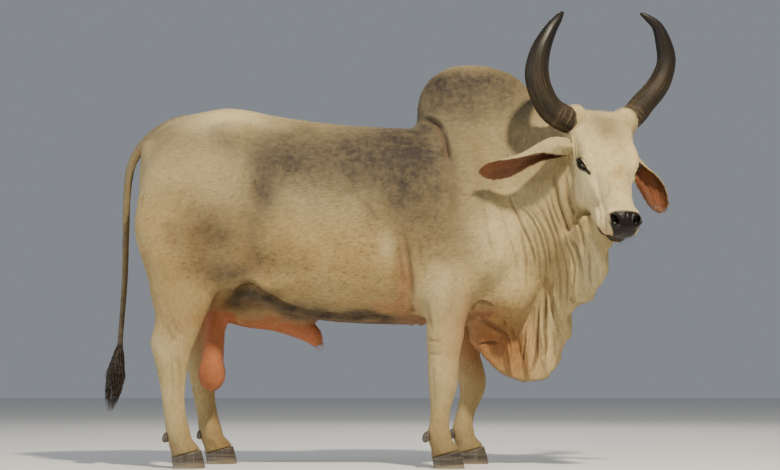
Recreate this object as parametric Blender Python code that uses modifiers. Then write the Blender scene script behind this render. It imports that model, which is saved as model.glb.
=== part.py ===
"""A zebu bull standing at life size with its head turned to its right, as a still museum model.

Metres, +Z up. The bull faces +X, its right side faces -Y, and it stands on z = 0.
Soft masses are lofted from named sizes, fused, and then parted into named solids by thin cuts.
"""

import math
import random

import bmesh
import bpy
import numpy as np
from mathutils import Matrix, Vector

GAP = 0.0003  # left between two solids that touch
RIGHT, LEFT = -1, 1  # signs of y for the two sides
SIDE_NAMES = {RIGHT: "right", LEFT: "left"}
UP = Vector((0, 0, 1))

# Body, built round the mid plane y = 0.
TRUNK_VOXEL = 0.0150
TRUNK_SOFTENING = 26
BODY_VOXEL = 0.0105
BODY_SOFTENING = 5
BODY_TRIANGLES = 5300

# Head, built in its own frame: down the face, out of the face, and to the bull's right.
POLL = Vector((0.871, -0.320, 1.465))
HEAD_YAW = math.radians(15)  # from the bull's right towards its front
FACE_SLOPE = math.radians(60)  # of the face below the horizon
HEAD_ROLL = math.radians(-1)
BONE_VOXEL = 0.0060
BONE_SOFTENING = 34
HEAD_VOXEL = 0.0042
HEAD_SOFTENING = 4
HEAD_TRIANGLES = 2400
EYE_RADIUS = 0.0230
EYE_AT = (0.243, -0.074, 0.101)  # down, out, aside
EYE_OPENING = (0.0360, 0.0130, 0.0240)  # half length, half height and half depth between the lids
NOSTRIL_AT = (0.539, -0.037, 0.037)
NOSTRIL_HOLE = (0.0260, 0.0160, 0.0130)  # half length, half depth and half width

# Ears, horns and tail.
EAR_WALL = 0.0070
HORN_ORIGIN = Vector((0.860, -0.320, 1.463))
HORN_YAW = math.radians(21)
HORN_SIDES = 10
TAIL_SIDES = 8
SWITCH_TOP = Vector((-1.143, 0.0, 0.500))
SWITCH_LENGTH = 0.280
SWITCH_HALF_WIDTH = 0.062
SWITCH_LOCKS = 24

# Feet: the middle of each foot on the floor.
FOOT_OUT = 0.195
FEET = {
    "foreleg_right": Vector((0.232, -FOOT_OUT, 0)),
    "foreleg_left": Vector((0.352, FOOT_OUT, 0)),
    "hindleg_right": Vector((-0.830, -FOOT_OUT, 0)),
    "hindleg_left": Vector((-0.735, FOOT_OUT, 0)),
}
HOOF_LENGTH = 0.128
HOOF_WIDTH = 0.056
HOOF_CLEFT = 0.007
CORONET_FRONT = 0.078  # height of the hoof's upper rim at the toe
CORONET_BACK = 0.042  # and at the heel


def clear_scene():
    for item in list(bpy.data.objects):
        bpy.data.objects.remove(item, do_unlink=True)


def collection(name):
    made = bpy.data.collections.new(name)
    bpy.context.scene.collection.children.link(made)
    return made


clear_scene()
PARTS = collection("zebu_bull")
WORKSHOP = collection("workshop")


def material(name, colour, roughness):
    made = bpy.data.materials.new(name)
    made.use_nodes = True
    shader = made.node_tree.nodes["Principled BSDF"]
    shader.inputs["Base Color"].default_value = (*colour, 1)
    shader.inputs["Roughness"].default_value = roughness
    return made


COAT = material("cream_coat", (0.66, 0.60, 0.47), 0.75)
GREY_COAT = material("grey_coat", (0.36, 0.33, 0.29), 0.75)
BARE_SKIN = material("bare_skin", (0.55, 0.24, 0.13), 0.6)
HORN = material("horn", (0.17, 0.13, 0.09), 0.45)
HOOF = material("hoof", (0.09, 0.08, 0.07), 0.5)
EYE = material("eye", (0.02, 0.012, 0.01), 0.1)
SWITCH_HAIR = material("switch_hair", (0.03, 0.025, 0.022), 0.6)


# Mesh helpers


def add_object(name, mesh, group=None):
    made = bpy.data.objects.new(name, mesh)
    (group or WORKSHOP).objects.link(made)
    return made


def settle(item):
    """Applies the object's modifiers."""
    graph = bpy.context.evaluated_depsgraph_get()
    mesh = bpy.data.meshes.new_from_object(item.evaluated_get(graph))
    item.modifiers.clear()
    item.data = mesh


def fill_rows(rows, steps):
    """Rows of sizes with steps more rows between each two, on a smooth curve through them."""
    rows = np.array(rows, float)
    ends = np.vstack([2 * rows[0] - rows[1], rows, 2 * rows[-1] - rows[-2]])
    filled = []
    for a, b, c, d in zip(ends, ends[1:], ends[2:], ends[3:]):
        for step in range(steps):
            t = step / steps
            curve = (c - a) * t + (2 * a - 5 * b + 4 * c - d) * t**2
            filled.append(b + 0.5 * (curve + (3 * b - a - 3 * c + d) * t**3))
    return np.vstack([filled, rows[-1]])


def oval(centre, across, up, half_width, rise, drop, square=2.2, sides=28):
    """A ring round centre: half_width across, rise above it and drop below it."""
    ring = []
    for i in range(sides):
        angle = math.tau * i / sides
        c, s = math.cos(angle), math.sin(angle)
        aside = math.copysign(abs(c) ** (2 / square), c) * half_width
        height = math.copysign(abs(s) ** (2 / square), s) * (rise if s > 0 else drop)
        ring.append(centre + across * aside + up * height)
    return ring


def skin_rings(name, rings):
    """A closed surface through rings with the same number of points."""
    shape = bmesh.new()
    loops = [[shape.verts.new(point) for point in ring] for ring in rings]
    for first, second in zip(loops, loops[1:]):
        for i in range(len(first)):
            j = (i + 1) % len(first)
            shape.faces.new((first[i], first[j], second[j], second[i]))
    shape.faces.new(reversed(loops[0]))
    shape.faces.new(loops[-1])
    bmesh.ops.recalc_face_normals(shape, faces=shape.faces)
    mesh = bpy.data.meshes.new(name)
    shape.to_mesh(mesh)
    shape.free()
    return add_object(name, mesh)


def blob(name, centre, radii, turn=Matrix.Identity(3), segments=28, rings=18):
    """An ellipsoid; turn holds its three axes as columns."""
    shape = bmesh.new()
    bmesh.ops.create_uvsphere(shape, u_segments=segments, v_segments=rings, radius=1)
    place = Matrix.Translation(centre) @ turn.to_4x4() @ Matrix.Diagonal((*radii, 1))
    bmesh.ops.transform(shape, matrix=place, verts=shape.verts)
    bmesh.ops.recalc_face_normals(shape, faces=shape.faces)
    mesh = bpy.data.meshes.new(name)
    shape.to_mesh(mesh)
    shape.free()
    return add_object(name, mesh)


def path_loft(name, rows, steps, side_hint, square=2.1, sides=20):
    """A limb through rows of x, y, z, half size along the hint's cross direction, half size along it."""
    filled = fill_rows(rows, steps)
    points = [Vector(row[:3]) for row in filled]
    rings = []
    for i, row in enumerate(filled):
        along = (points[min(i + 1, len(points) - 1)] - points[max(i - 1, 0)]).normalized()
        aside = (side_hint - along * side_hint.dot(along)).normalized()
        cross = aside.cross(along)
        rings.append(oval(points[i], cross, aside, row[3], row[4], row[4], square, sides))
    return skin_rings(name, rings)


def join(name, pieces):
    """One object of all the pieces' faces."""
    shape = bmesh.new()
    for piece in pieces:
        shape.from_mesh(piece.data)
        bpy.data.objects.remove(piece, do_unlink=True)
    mesh = bpy.data.meshes.new(name)
    shape.to_mesh(mesh)
    shape.free()
    return add_object(name, mesh)


def fuse(name, masses, voxel, softening, triangles=None):
    """Overlapping masses made one smooth skin, of about so many triangles where they are given."""
    whole = join(name, masses)
    remesh = whole.modifiers.new("fuse", "REMESH")
    remesh.mode = "VOXEL"
    remesh.voxel_size = voxel
    soften = whole.modifiers.new("soften", "SMOOTH")
    soften.factor = 0.5
    soften.iterations = softening
    settle(whole)
    if triangles is None:
        return whole
    quads = len(whole.data.polygons)
    thin = whole.modifiers.new("thin", "DECIMATE")
    thin.ratio = triangles / (2 * quads)
    settle(whole)
    return whole


def keep_largest(item):
    """Drops every loose scrap but the surface that holds the most."""
    shape = bmesh.new()
    shape.from_mesh(item.data)
    left = set(shape.verts)
    bodies = []
    while left:
        body, edge = set(), [left.pop()]
        while edge:
            vert = edge.pop()
            body.add(vert)
            near = {e.other_vert(vert) for e in vert.link_edges} & left
            left -= near
            edge.extend(near)
        bodies.append(body)
    if len(bodies) > 1:

        def held(body):
            total = 0.0
            for face in {f for v in body for f in v.link_faces}:
                a, *others = [v.co for v in face.verts]
                for b, c in zip(others, others[1:]):
                    total += a.dot(b.cross(c))
            return total

        bodies.sort(key=held)
        scraps = [v for body in bodies[:-1] for v in body]
        bmesh.ops.delete(shape, geom=scraps, context="VERTS")
        shape.to_mesh(item.data)
    shape.free()


def boolean(item, tool, operation, solver="EXACT"):
    """item joined to, cut by or kept inside tool, which is then removed."""
    change = item.modifiers.new("change", "BOOLEAN")
    change.operation = operation
    change.solver = solver
    change.object = tool
    settle(item)
    bpy.data.objects.remove(tool, do_unlink=True)
    keep_largest(item)


def copy_of(item, name):
    return add_object(name, item.data.copy())


def swollen(item, by=GAP):
    """A copy of item whose skin stands out by a little."""
    made = copy_of(item, "swollen")
    swell = made.modifiers.new("swell", "DISPLACE")
    swell.strength = by
    swell.mid_level = 0
    settle(made)
    return made


def block(centre, half, turn=Matrix.Identity(3), grow=0.0):
    """A cutting block of half sizes, grown a little on every side."""
    shape = bmesh.new()
    bmesh.ops.create_cube(shape, size=2)
    sizes = [value + grow for value in half]
    place = Matrix.Translation(centre) @ turn.to_4x4() @ Matrix.Diagonal((*sizes, 1))
    bmesh.ops.transform(shape, matrix=place, verts=shape.verts)
    mesh = bpy.data.meshes.new("block")
    shape.to_mesh(mesh)
    shape.free()
    return add_object("block", mesh)


def wedge(ahead, aside, low, tops, grow=0.0):
    """A cutting block with a sloping top, whose height at the four corners is in tops.

    ahead and aside are ranges in x and y; tops goes rear and front at the first y, then at the second.
    """
    shape = bmesh.new()
    x0, x1 = ahead[0] - grow, ahead[1] + grow
    y0, y1 = min(aside) - grow, max(aside) + grow
    if aside[0] > aside[1]:
        tops = (tops[2], tops[3], tops[0], tops[1])
    corners = []
    for z in (None, low - grow):
        for y, pair in ((y0, tops[:2]), (y1, tops[2:])):
            for x, top in ((x0, pair[0]), (x1, pair[1])):
                height = top + grow * 1.2 if z is None else z
                corners.append(shape.verts.new((x, y, height)))
    a, b, c, d, e, f, g, h = corners
    for face in ((a, b, d, c), (e, g, h, f), (a, e, f, b), (c, d, h, g), (a, c, g, e), (b, f, h, d)):
        shape.faces.new(face)
    bmesh.ops.triangulate(shape, faces=shape.faces)
    bmesh.ops.recalc_face_normals(shape, faces=shape.faces)
    mesh = bpy.data.meshes.new("wedge")
    shape.to_mesh(mesh)
    shape.free()
    return add_object("wedge", mesh)


def part_off(rest, name, block_of):
    """The piece of rest inside a block; rest keeps what is more than the gap away from it."""
    piece = copy_of(rest, name)
    boolean(piece, block_of(0.0), "INTERSECT")
    boolean(rest, block_of(GAP), "DIFFERENCE")
    return piece


def finish(item, name, finish_material):
    """Makes a shape one of the bull's named solids."""
    item.name = name
    item.data.name = name
    item.data.materials.clear()
    item.data.materials.append(finish_material)
    item.data.shade_smooth()
    for group in list(item.users_collection):
        group.objects.unlink(item)
    PARTS.objects.link(item)
    return item


# Masses of the body


def barrel():
    """Chest, belly and rump in one: x, back line, widest level, belly line, half width."""
    rows = [
        (-1.065, 1.290, 1.200, 1.110, 0.060),
        (-1.020, 1.395, 1.190, 1.000, 0.150),
        (-0.920, 1.470, 1.160, 0.880, 0.215),
        (-0.780, 1.502, 1.120, 0.760, 0.255),
        (-0.665, 1.520, 1.090, 0.690, 0.280),
        (-0.480, 1.480, 1.060, 0.640, 0.315),
        (-0.250, 1.448, 1.040, 0.606, 0.340),
        (0.000, 1.430, 1.030, 0.590, 0.336),
        (0.200, 1.428, 1.030, 0.592, 0.305),
        (0.400, 1.410, 1.030, 0.610, 0.260),
        (0.560, 1.350, 1.010, 0.650, 0.215),
        (0.680, 1.220, 0.990, 0.730, 0.130),
    ]
    rings = [
        oval(Vector((x, 0, mid)), Vector((0, 1, 0)), UP, half, top - mid, mid - low, 2.35)
        for x, top, mid, low, half in fill_rows(rows, 4)
    ]
    return skin_rings("barrel", rings)


def hump():
    """The hump, in level rings: height, rear, front, half width."""
    rows = [
        (1.260, 0.060, 0.620, 0.205),
        (1.380, 0.118, 0.620, 0.180),
        (1.440, 0.116, 0.625, 0.166),
        (1.515, 0.111, 0.635, 0.152),
        (1.590, 0.129, 0.605, 0.134),
        (1.655, 0.174, 0.545, 0.104),
        (1.702, 0.262, 0.430, 0.050),
    ]
    rings = [
        oval(
            Vector(((rear + front) / 2, 0, z)),
            Vector((0, 1, 0)),
            Vector((1, 0, 0)),
            half,
            (front - rear) / 2,
            (front - rear) / 2,
            2.15,
        )
        for z, rear, front, half in fill_rows(rows, 4)
    ]
    return skin_rings("hump", rings)


def neck():
    """Neck from the shoulders round to the head: centre, half width, rise, drop."""
    rows = [
        (0.360, 0.000, 1.060, 0.250, 0.400, 0.380),
        (0.520, -0.030, 1.080, 0.215, 0.480, 0.400),
        (0.660, -0.110, 1.130, 0.165, 0.400, 0.350),
        (0.770, -0.200, 1.190, 0.128, 0.290, 0.300),
        (0.850, -0.285, 1.250, 0.092, 0.185, 0.220),
    ]
    filled = fill_rows(rows, 5)
    centres = [Vector(row[:3]) for row in filled]
    rings = []
    for i, row in enumerate(filled):
        along = centres[min(i + 1, len(centres) - 1)] - centres[max(i - 1, 0)]
        aside = along.cross(UP).normalized()
        rings.append(oval(centres[i], aside, UP, row[3], row[4], row[5], 2.1))
    return skin_rings("neck", rings)


DEWLAP_PLEATS = 9.0
DEWLAP_PLEAT_DEPTH = 0.021
DEWLAP_ROOT_WALL = 0.085  # half thickness where the dewlap leaves the neck
DEWLAP_EDGE_WALL = 0.016  # and at its free edge
DEWLAP_ROWS = [  # root x, y, z and free edge x, y, z, from the throat back to the breastbone
    (0.835, -0.345, 1.030, 0.878, -0.400, 0.930),
    (0.820, -0.315, 1.000, 0.855, -0.355, 0.760),
    (0.790, -0.260, 0.960, 0.800, -0.280, 0.672),
    (0.740, -0.180, 0.930, 0.752, -0.170, 0.656),
    (0.690, -0.090, 0.880, 0.742, -0.070, 0.540),
    (0.635, -0.040, 0.800, 0.690, -0.030, 0.396),
    (0.550, 0.000, 0.730, 0.600, -0.010, 0.350),
    (0.450, 0.000, 0.680, 0.470, 0.000, 0.386),
    (0.330, 0.000, 0.660, 0.335, 0.000, 0.520),
]


def dewlap():
    """The hanging fold from throat to breastbone, pleated like a curtain towards its free edge."""
    filled = fill_rows(DEWLAP_ROWS, 9)
    steps_down = 9
    rings = []
    for i, row in enumerate(filled):
        root, edge = Vector(row[:3]), Vector(row[3:])
        before, after = filled[max(i - 1, 0)], filled[min(i + 1, len(filled) - 1)]
        along = (Vector(after[3:]) - Vector(before[3:])) + (Vector(after[:3]) - Vector(before[:3]))
        along.z = 0
        aside = Vector((along.y, -along.x, 0)).normalized()
        share = i / (len(filled) - 1)
        turn = math.tau * DEWLAP_PLEATS * (share + 0.030 * math.sin(9 * share) + 0.012 * math.sin(23 * share))
        wave = (math.sin(turn) + 0.25 * math.sin(2 * turn + 1)) * (0.80 + 0.35 * math.sin(14 * share + 2))
        near, far = [], []
        for step in range(steps_down):
            t = step / (steps_down - 1)
            wall = DEWLAP_ROOT_WALL + (DEWLAP_EDGE_WALL - DEWLAP_ROOT_WALL) * t**0.6
            shift = aside * (wave * DEWLAP_PLEAT_DEPTH * min(1.0, 1.6 * t))
            middle = root.lerp(edge, t) + shift
            near.append(middle + aside * wall)
            far.append(middle - aside * wall)
        rings.append(near + far[::-1])
    return skin_rings("dewlap", rings)


def shoulder(side):
    """Shoulder blade, upper arm and breast muscle of one side."""
    lean = Matrix.Rotation(math.radians(-24), 3, "Y")
    blade = blob("blade", Vector((0.340, side * 0.190, 1.130)), (0.135, 0.088, 0.290), lean)
    arm = blob("arm", Vector((0.350, side * 0.205, 0.900)), (0.170, 0.095, 0.160))
    breast = blob("breast", Vector((0.490, side * 0.105, 0.765)), (0.125, 0.105, 0.160))
    return [blade, arm, breast]


FORELEG = [  # x from the foot, height, half size fore and aft, half size across, y
    (0.040, 0.950, 0.125, 0.078, 0.215),
    (0.018, 0.790, 0.122, 0.086, 0.218),
    (0.004, 0.660, 0.096, 0.074, 0.212),
    (-0.004, 0.560, 0.083, 0.063, 0.204),
    (-0.012, 0.450, 0.068, 0.055, 0.198),
    (-0.014, 0.350, 0.064, 0.057, 0.195),
    (-0.018, 0.295, 0.054, 0.051, 0.195),
    (-0.026, 0.235, 0.043, 0.041, 0.195),
    (-0.030, 0.180, 0.043, 0.043, 0.195),
    (-0.032, 0.140, 0.052, 0.053, 0.195),
    (-0.022, 0.102, 0.047, 0.051, 0.195),
    (-0.006, 0.060, 0.060, 0.060, 0.195),
    (0.006, 0.020, 0.066, 0.062, 0.195),
]
HINDLEG = [
    (0.020, 1.180, 0.225, 0.100, 0.165),
    (-0.020, 1.000, 0.220, 0.108, 0.175),
    (-0.018, 0.850, 0.185, 0.098, 0.182),
    (-0.028, 0.720, 0.140, 0.080, 0.190),
    (-0.040, 0.610, 0.101, 0.063, 0.195),
    (-0.064, 0.520, 0.092, 0.051, 0.195),
    (-0.068, 0.470, 0.082, 0.048, 0.195),
    (-0.064, 0.390, 0.062, 0.045, 0.195),
    (-0.058, 0.280, 0.049, 0.040, 0.195),
    (-0.047, 0.195, 0.047, 0.044, 0.195),
    (-0.038, 0.142, 0.053, 0.053, 0.195),
    (-0.026, 0.102, 0.048, 0.051, 0.195),
    (-0.006, 0.060, 0.060, 0.060, 0.195),
    (0.006, 0.020, 0.066, 0.062, 0.195),
]
LEFT_KNEE_BEND = 0.044  # how far the left knee is bent forward
LEFT_STRIDE = {"foreleg": 0.120, "hindleg": 0.095}  # how far the left feet stand ahead


def leg(kind, side, top_only=False):
    """One leg from inside the body down past the hoof's rim, or only what blends into the trunk."""
    rows = FORELEG if kind == "foreleg" else HINDLEG
    top = rows[0][1]
    rows = rows[:6] if top_only else rows[3:]
    foot = FEET[f"{kind}_{SIDE_NAMES[side]}"]
    points = []
    for ahead, height, fore_aft, across, out in rows:
        x = foot.x + ahead
        if side == LEFT:
            x -= LEFT_STRIDE[kind] * min(1.0, height / top) ** 1.3 * 0.75
            if kind == "foreleg":
                x += LEFT_KNEE_BEND * math.exp(-(((height - 0.35) / 0.13) ** 2))
        points.append((x, side * out, height, fore_aft, across))
    return path_loft(f"{kind}_mass", points, 4, Vector((0, 1, 0)), 2.15)


def haunch(side):
    """Thigh, hook bone and pin bone of one side."""
    lean = Matrix.Rotation(math.radians(12), 3, "Y")
    thigh = blob("thigh", Vector((-0.850, side * 0.168, 1.120)), (0.200, 0.122, 0.290), lean)
    hook = blob("hook", Vector((-0.650, side * 0.205, 1.375)), (0.100, 0.070, 0.060))
    pin = blob("pin", Vector((-1.000, side * 0.100, 1.320)), (0.062, 0.050, 0.060))
    stifle = blob("stifle", Vector((-0.760, side * 0.205, 0.820)), (0.085, 0.070, 0.140), lean)
    return [thigh, hook, pin, stifle, flank_fold(side)]


def hock_point(side):
    """The heel bone that stands out behind the hock."""
    x = FEET[f"hindleg_{SIDE_NAMES[side]}"].x - 0.130
    if side == LEFT:
        x -= 0.025
    return blob("heel", Vector((x, side * 0.195, 0.512)), (0.030, 0.028, 0.048))


def sheath():
    """The sheath that hangs along the belly and ends in a loose tip."""
    rows = [
        (-0.760, 0, 0.690, 0.060, 0.050),
        (-0.620, 0, 0.640, 0.058, 0.048),
        (-0.480, 0, 0.618, 0.055, 0.048),
        (-0.385, 0, 0.585, 0.052, 0.042),
        (-0.325, 0, 0.545, 0.042, 0.040),
        (-0.306, 0, 0.505, 0.024, 0.026),
    ]
    return path_loft("sheath", rows, 4, Vector((0, 1, 0)))


def scrotum():
    rows = [
        (-0.722, 0, 0.760, 0.060, 0.060),
        (-0.735, 0, 0.640, 0.045, 0.052),
        (-0.742, 0, 0.550, 0.044, 0.052),
        (-0.748, 0, 0.470, 0.048, 0.058),
        (-0.752, 0, 0.400, 0.046, 0.052),
    ]
    pouch = [path_loft("scrotum", rows, 4, Vector((0, 1, 0)))]
    for side in (RIGHT, LEFT):
        pouch.append(blob("testis", Vector((-0.752, side * 0.036, 0.388)), (0.058, 0.048, 0.080)))
    return pouch


def flank_fold(side):
    """The skin that runs from the belly to the stifle."""
    rows = [
        (-0.380, side * 0.215, 0.760, 0.050, 0.050),
        (-0.520, side * 0.225, 0.770, 0.060, 0.045),
        (-0.640, side * 0.225, 0.800, 0.070, 0.040),
        (-0.740, side * 0.205, 0.800, 0.080, 0.040),
    ]
    return path_loft("flank", rows, 4, Vector((0, 1, 0)))


# Head


def head_axes():
    """Columns: down the face, out of the face, to the bull's right."""
    heading = Vector((math.sin(HEAD_YAW), -math.cos(HEAD_YAW), 0))
    down = heading * math.cos(FACE_SLOPE) - UP * math.sin(FACE_SLOPE)
    out = heading * math.sin(FACE_SLOPE) + UP * math.cos(FACE_SLOPE)
    right = down.cross(out)
    roll = Matrix.Rotation(HEAD_ROLL, 3, out)
    down, right = roll @ down, roll @ right
    return Matrix((down, out, right)).transposed()


HEAD_AXES = head_axes()
HEAD_DOWN, HEAD_OUT, HEAD_RIGHT = HEAD_AXES.col


def on_head(down, out, aside=0.0):
    """A point of the head's own frame in the bull's frame; aside is to the bull's right."""
    return POLL + HEAD_AXES @ Vector((down, out, aside))


def head_loft(name, rows, steps=4, square=2.25, sides=32):
    """Rings across the head: down, half width, front, middle, back."""
    rings = [
        oval(on_head(d, mid), HEAD_RIGHT, HEAD_OUT, half, front - mid, mid - back, square, sides)
        for d, half, front, mid, back in fill_rows(rows, steps)
    ]
    return skin_rings(name, rings)


def head_blob(name, at, radii, turn=Matrix.Identity(3), segments=28, rings=18):
    return blob(name, on_head(*at), radii, HEAD_AXES @ turn, segments, rings)


def skull():
    """Forehead, nose and upper lip."""
    rows = [
        (-0.034, 0.070, -0.060, -0.095, -0.125),
        (-0.012, 0.118, -0.032, -0.095, -0.165),
        (0.035, 0.140, -0.010, -0.090, -0.205),
        (0.100, 0.138, 0.003, -0.090, -0.220),
        (0.170, 0.128, 0.008, -0.090, -0.215),
        (0.230, 0.114, 0.005, -0.088, -0.200),
        (0.290, 0.086, 0.000, -0.082, -0.175),
        (0.350, 0.069, -0.006, -0.075, -0.150),
        (0.410, 0.064, -0.012, -0.068, -0.125),
        (0.465, 0.064, -0.014, -0.064, -0.116),
        (0.510, 0.071, -0.012, -0.064, -0.116),
        (0.542, 0.072, -0.022, -0.068, -0.116),
        (0.564, 0.066, -0.036, -0.076, -0.114),
        (0.579, 0.046, -0.060, -0.086, -0.108),
    ]
    return head_loft("skull", rows)


def jaw():
    """Lower jaw, cheeks and chin."""
    rows = [
        (0.090, 0.090, -0.110, -0.180, -0.245),
        (0.170, 0.108, -0.100, -0.180, -0.285),
        (0.250, 0.102, -0.090, -0.170, -0.282),
        (0.330, 0.082, -0.090, -0.165, -0.262),
        (0.400, 0.070, -0.090, -0.152, -0.230),
        (0.465, 0.063, -0.092, -0.140, -0.205),
        (0.518, 0.054, -0.098, -0.136, -0.183),
        (0.558, 0.036, -0.112, -0.135, -0.158),
    ]
    return head_loft("jaw", rows)


def eye_axes(side):
    """Columns: along the eye from its rear to its front corner, towards the brow, outwards."""
    outward = Vector((0.05, 0.50, side * 0.86)).normalized()
    length = Vector((0.87, 0.46, -side * 0.20))
    length = (length - outward * length.dot(outward)).normalized()
    brow = outward.cross(length) * (1 if side > 0 else -1)
    if brow.y < 0:
        brow.negate()
    return Matrix((length, brow, outward)).transposed()


def eye_opening(side):
    """The almond gap between the lids, as a lens that is longest from corner to corner."""
    axes = HEAD_AXES @ eye_axes(side)
    centre = on_head(EYE_AT[0], EYE_AT[1], side * EYE_AT[2]) + axes.col[2] * EYE_RADIUS * 0.95
    return blob("opening", centre, EYE_OPENING, axes, 14, 7)


def nostril_wing(side):
    """The raised rim round a nostril."""
    rows = []
    down, out, aside = NOSTRIL_AT
    for step in range(8):
        angle = math.radians(-130 + 38 * step)
        across = 0.021 * math.cos(angle)
        away = 0.017 * math.sin(angle)
        spot = (down + across, out - 0.004 + 0.3 * away, side * (aside + 0.008 - 0.5 * across + away))
        rows.append((*on_head(*spot), 0.0090, 0.0090))
    return path_loft("wing", rows, 2, HEAD_OUT, 2.0, 10)


def bones():
    """The broad masses of the head, which are softened into each other."""
    masses = [skull(), jaw(), head_blob("nose_ridge", (0.360, -0.024, 0), (0.190, 0.024, 0.048))]
    for side in (1, -1):
        tilt = Matrix.Rotation(math.radians(side * 10), 3, "X")
        masses += [
            head_blob("boss", (0.018, -0.062, side * 0.108), (0.058, 0.066, 0.056)),
            head_blob("brow", (0.205, -0.044, side * 0.088), (0.085, 0.042, 0.036), tilt),
            head_blob("socket", (0.247, -0.086, side * 0.086), (0.068, 0.056, 0.034)),
            head_blob("cheek", (0.250, -0.170, side * 0.070), (0.120, 0.105, 0.042)),
            head_blob("cheekbone", (0.325, -0.090, side * 0.060), (0.100, 0.034, 0.026)),
            head_blob("ear_base", (0.100, -0.125, side * 0.112), (0.052, 0.054, 0.040)),
        ]
    return masses


def soft_parts():
    """Lids, nose and lips, which keep their sharper shapes."""
    masses = [
        head_blob("nose_pad", (0.552, -0.070, 0), (0.027, 0.040, 0.064)),
        head_blob("chin", (0.522, -0.142, 0), (0.048, 0.026, 0.045)),
    ]
    for side in (1, -1):
        centre = on_head(EYE_AT[0], EYE_AT[1], side * EYE_AT[2])
        masses += [
            blob("lids", centre, (EYE_RADIUS + 0.0080,) * 3),
            head_blob("lip", (0.484, -0.110, side * 0.057), (0.074, 0.040, 0.032)),
            head_blob("nose_side", (0.512, -0.046, side * 0.045), (0.046, 0.028, 0.025)),
            nostril_wing(side),
        ]
    return masses


def mouth_line():
    """A bent rod that cuts the line of the mouth round the muzzle."""
    rows = []
    for step in range(13):
        turn = -1 + step / 6
        back = 0.140 * abs(turn) ** 2.0
        aside = 0.076 * math.sin(turn * math.pi / 2)
        out = -0.113 - 0.016 * abs(turn) ** 1.5 + 0.004 * math.cos(turn * math.pi * 2)
        rows.append((*on_head(0.568 - back, out, aside), 0.013, 0.0034))
    return path_loft("mouth", rows, 2, HEAD_OUT, 2.0, 10)


def make_head():
    """The head as one solid with its eye sockets, nostrils and mouth cut in, and a copy from before those cuts."""
    skull_and_jaw = fuse("bones", bones(), BONE_VOXEL, BONE_SOFTENING)
    head = fuse("head", [skull_and_jaw, *soft_parts()], HEAD_VOXEL, HEAD_SOFTENING, HEAD_TRIANGLES)
    behind = (HEAD_DOWN * 0.72 + HEAD_OUT * 0.69).normalized()
    across = HEAD_RIGHT
    third = behind.cross(across)
    turn = Matrix((behind, across, third)).transposed()
    boolean(head, block(on_head(0.030, -0.200) - behind * 0.4, (0.4, 0.5, 0.5), turn), "DIFFERENCE")
    whole = copy_of(head, "whole_head")
    boolean(head, mouth_line(), "DIFFERENCE")
    for side in (1, -1):
        eye = on_head(EYE_AT[0], EYE_AT[1], side * EYE_AT[2])
        ball = blob("ball", eye, (EYE_RADIUS + 0.0010,) * 3, segments=12, rings=8)
        boolean(head, eye_opening(side), "DIFFERENCE")
        boolean(head, ball, "DIFFERENCE")
        down, out, aside = NOSTRIL_AT
        inward = Matrix.Rotation(math.radians(side * 30), 3, "Y")
        hole = head_blob("hole", (down, out + 0.004, side * (aside + 0.008)), NOSTRIL_HOLE, inward, 12, 8)
        boolean(head, hole, "DIFFERENCE")
    return head, whole


def eyeball(side):
    centre = on_head(EYE_AT[0], EYE_AT[1], side * EYE_AT[2])
    return blob("eyeball", centre, (EYE_RADIUS,) * 3, segments=12, rings=8)


HORN_ROWS = {  # aside, up, forward, radius
    1: [
        (0.060, -0.062, -0.050, 0.050),
        (0.131, -0.041, -0.050, 0.056),
        (0.202, -0.006, -0.047, 0.053),
        (0.255, 0.068, -0.035, 0.051),
        (0.277, 0.143, -0.020, 0.049),
        (0.264, 0.227, -0.010, 0.041),
        (0.226, 0.306, -0.006, 0.029),
        (0.185, 0.362, -0.010, 0.018),
        (0.160, 0.392, -0.016, 0.007),
    ],
    -1: [
        (0.080, -0.062, -0.050, 0.048),
        (0.165, -0.022, -0.050, 0.052),
        (0.224, 0.042, -0.047, 0.051),
        (0.292, 0.124, -0.035, 0.048),
        (0.323, 0.219, -0.020, 0.040),
        (0.307, 0.295, -0.010, 0.034),
        (0.276, 0.363, -0.006, 0.023),
        (0.232, 0.399, -0.010, 0.014),
        (0.204, 0.416, -0.016, 0.006),
    ],
}


def horn(side):
    """A lyre-shaped horn that rises out, up and in again."""
    forward = Vector((math.sin(HORN_YAW), -math.cos(HORN_YAW), 0))
    outward = forward.cross(UP) * side
    rows = []
    for aside, up, ahead, radius in HORN_ROWS[side]:
        spot = HORN_ORIGIN + outward * aside + UP * up + forward * ahead
        rows.append((*spot, radius, radius * 0.94))
    return path_loft("horn", rows, 2, forward, 2.0, HORN_SIDES)


EAR_ROWS = {  # centre x, y, z, radius of the curl, and half the angle that it covers in degrees
    1: [
        (0.722, -0.335, 1.304, 0.038, 158),
        (0.664, -0.366, 1.297, 0.046, 155),
        (0.607, -0.372, 1.279, 0.038, 125),
        (0.550, -0.372, 1.251, 0.034, 104),
        (0.493, -0.367, 1.223, 0.045, 76),
        (0.445, -0.360, 1.209, 0.054, 61),
        (0.405, -0.354, 1.201, 0.054, 50),
        (0.381, -0.351, 1.201, 0.040, 42),
        (0.365, -0.350, 1.203, 0.012, 40),
    ],
    -1: [
        (0.966, -0.240, 1.304, 0.026, 155),
        (1.005, -0.250, 1.250, 0.030, 130),
        (1.034, -0.255, 1.205, 0.038, 102),
        (1.064, -0.258, 1.164, 0.050, 76),
        (1.087, -0.262, 1.123, 0.054, 64),
        (1.102, -0.265, 1.085, 0.050, 54),
        (1.106, -0.268, 1.062, 0.044, 45),
        (1.106, -0.269, 1.046, 0.014, 40),
    ],
}
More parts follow.
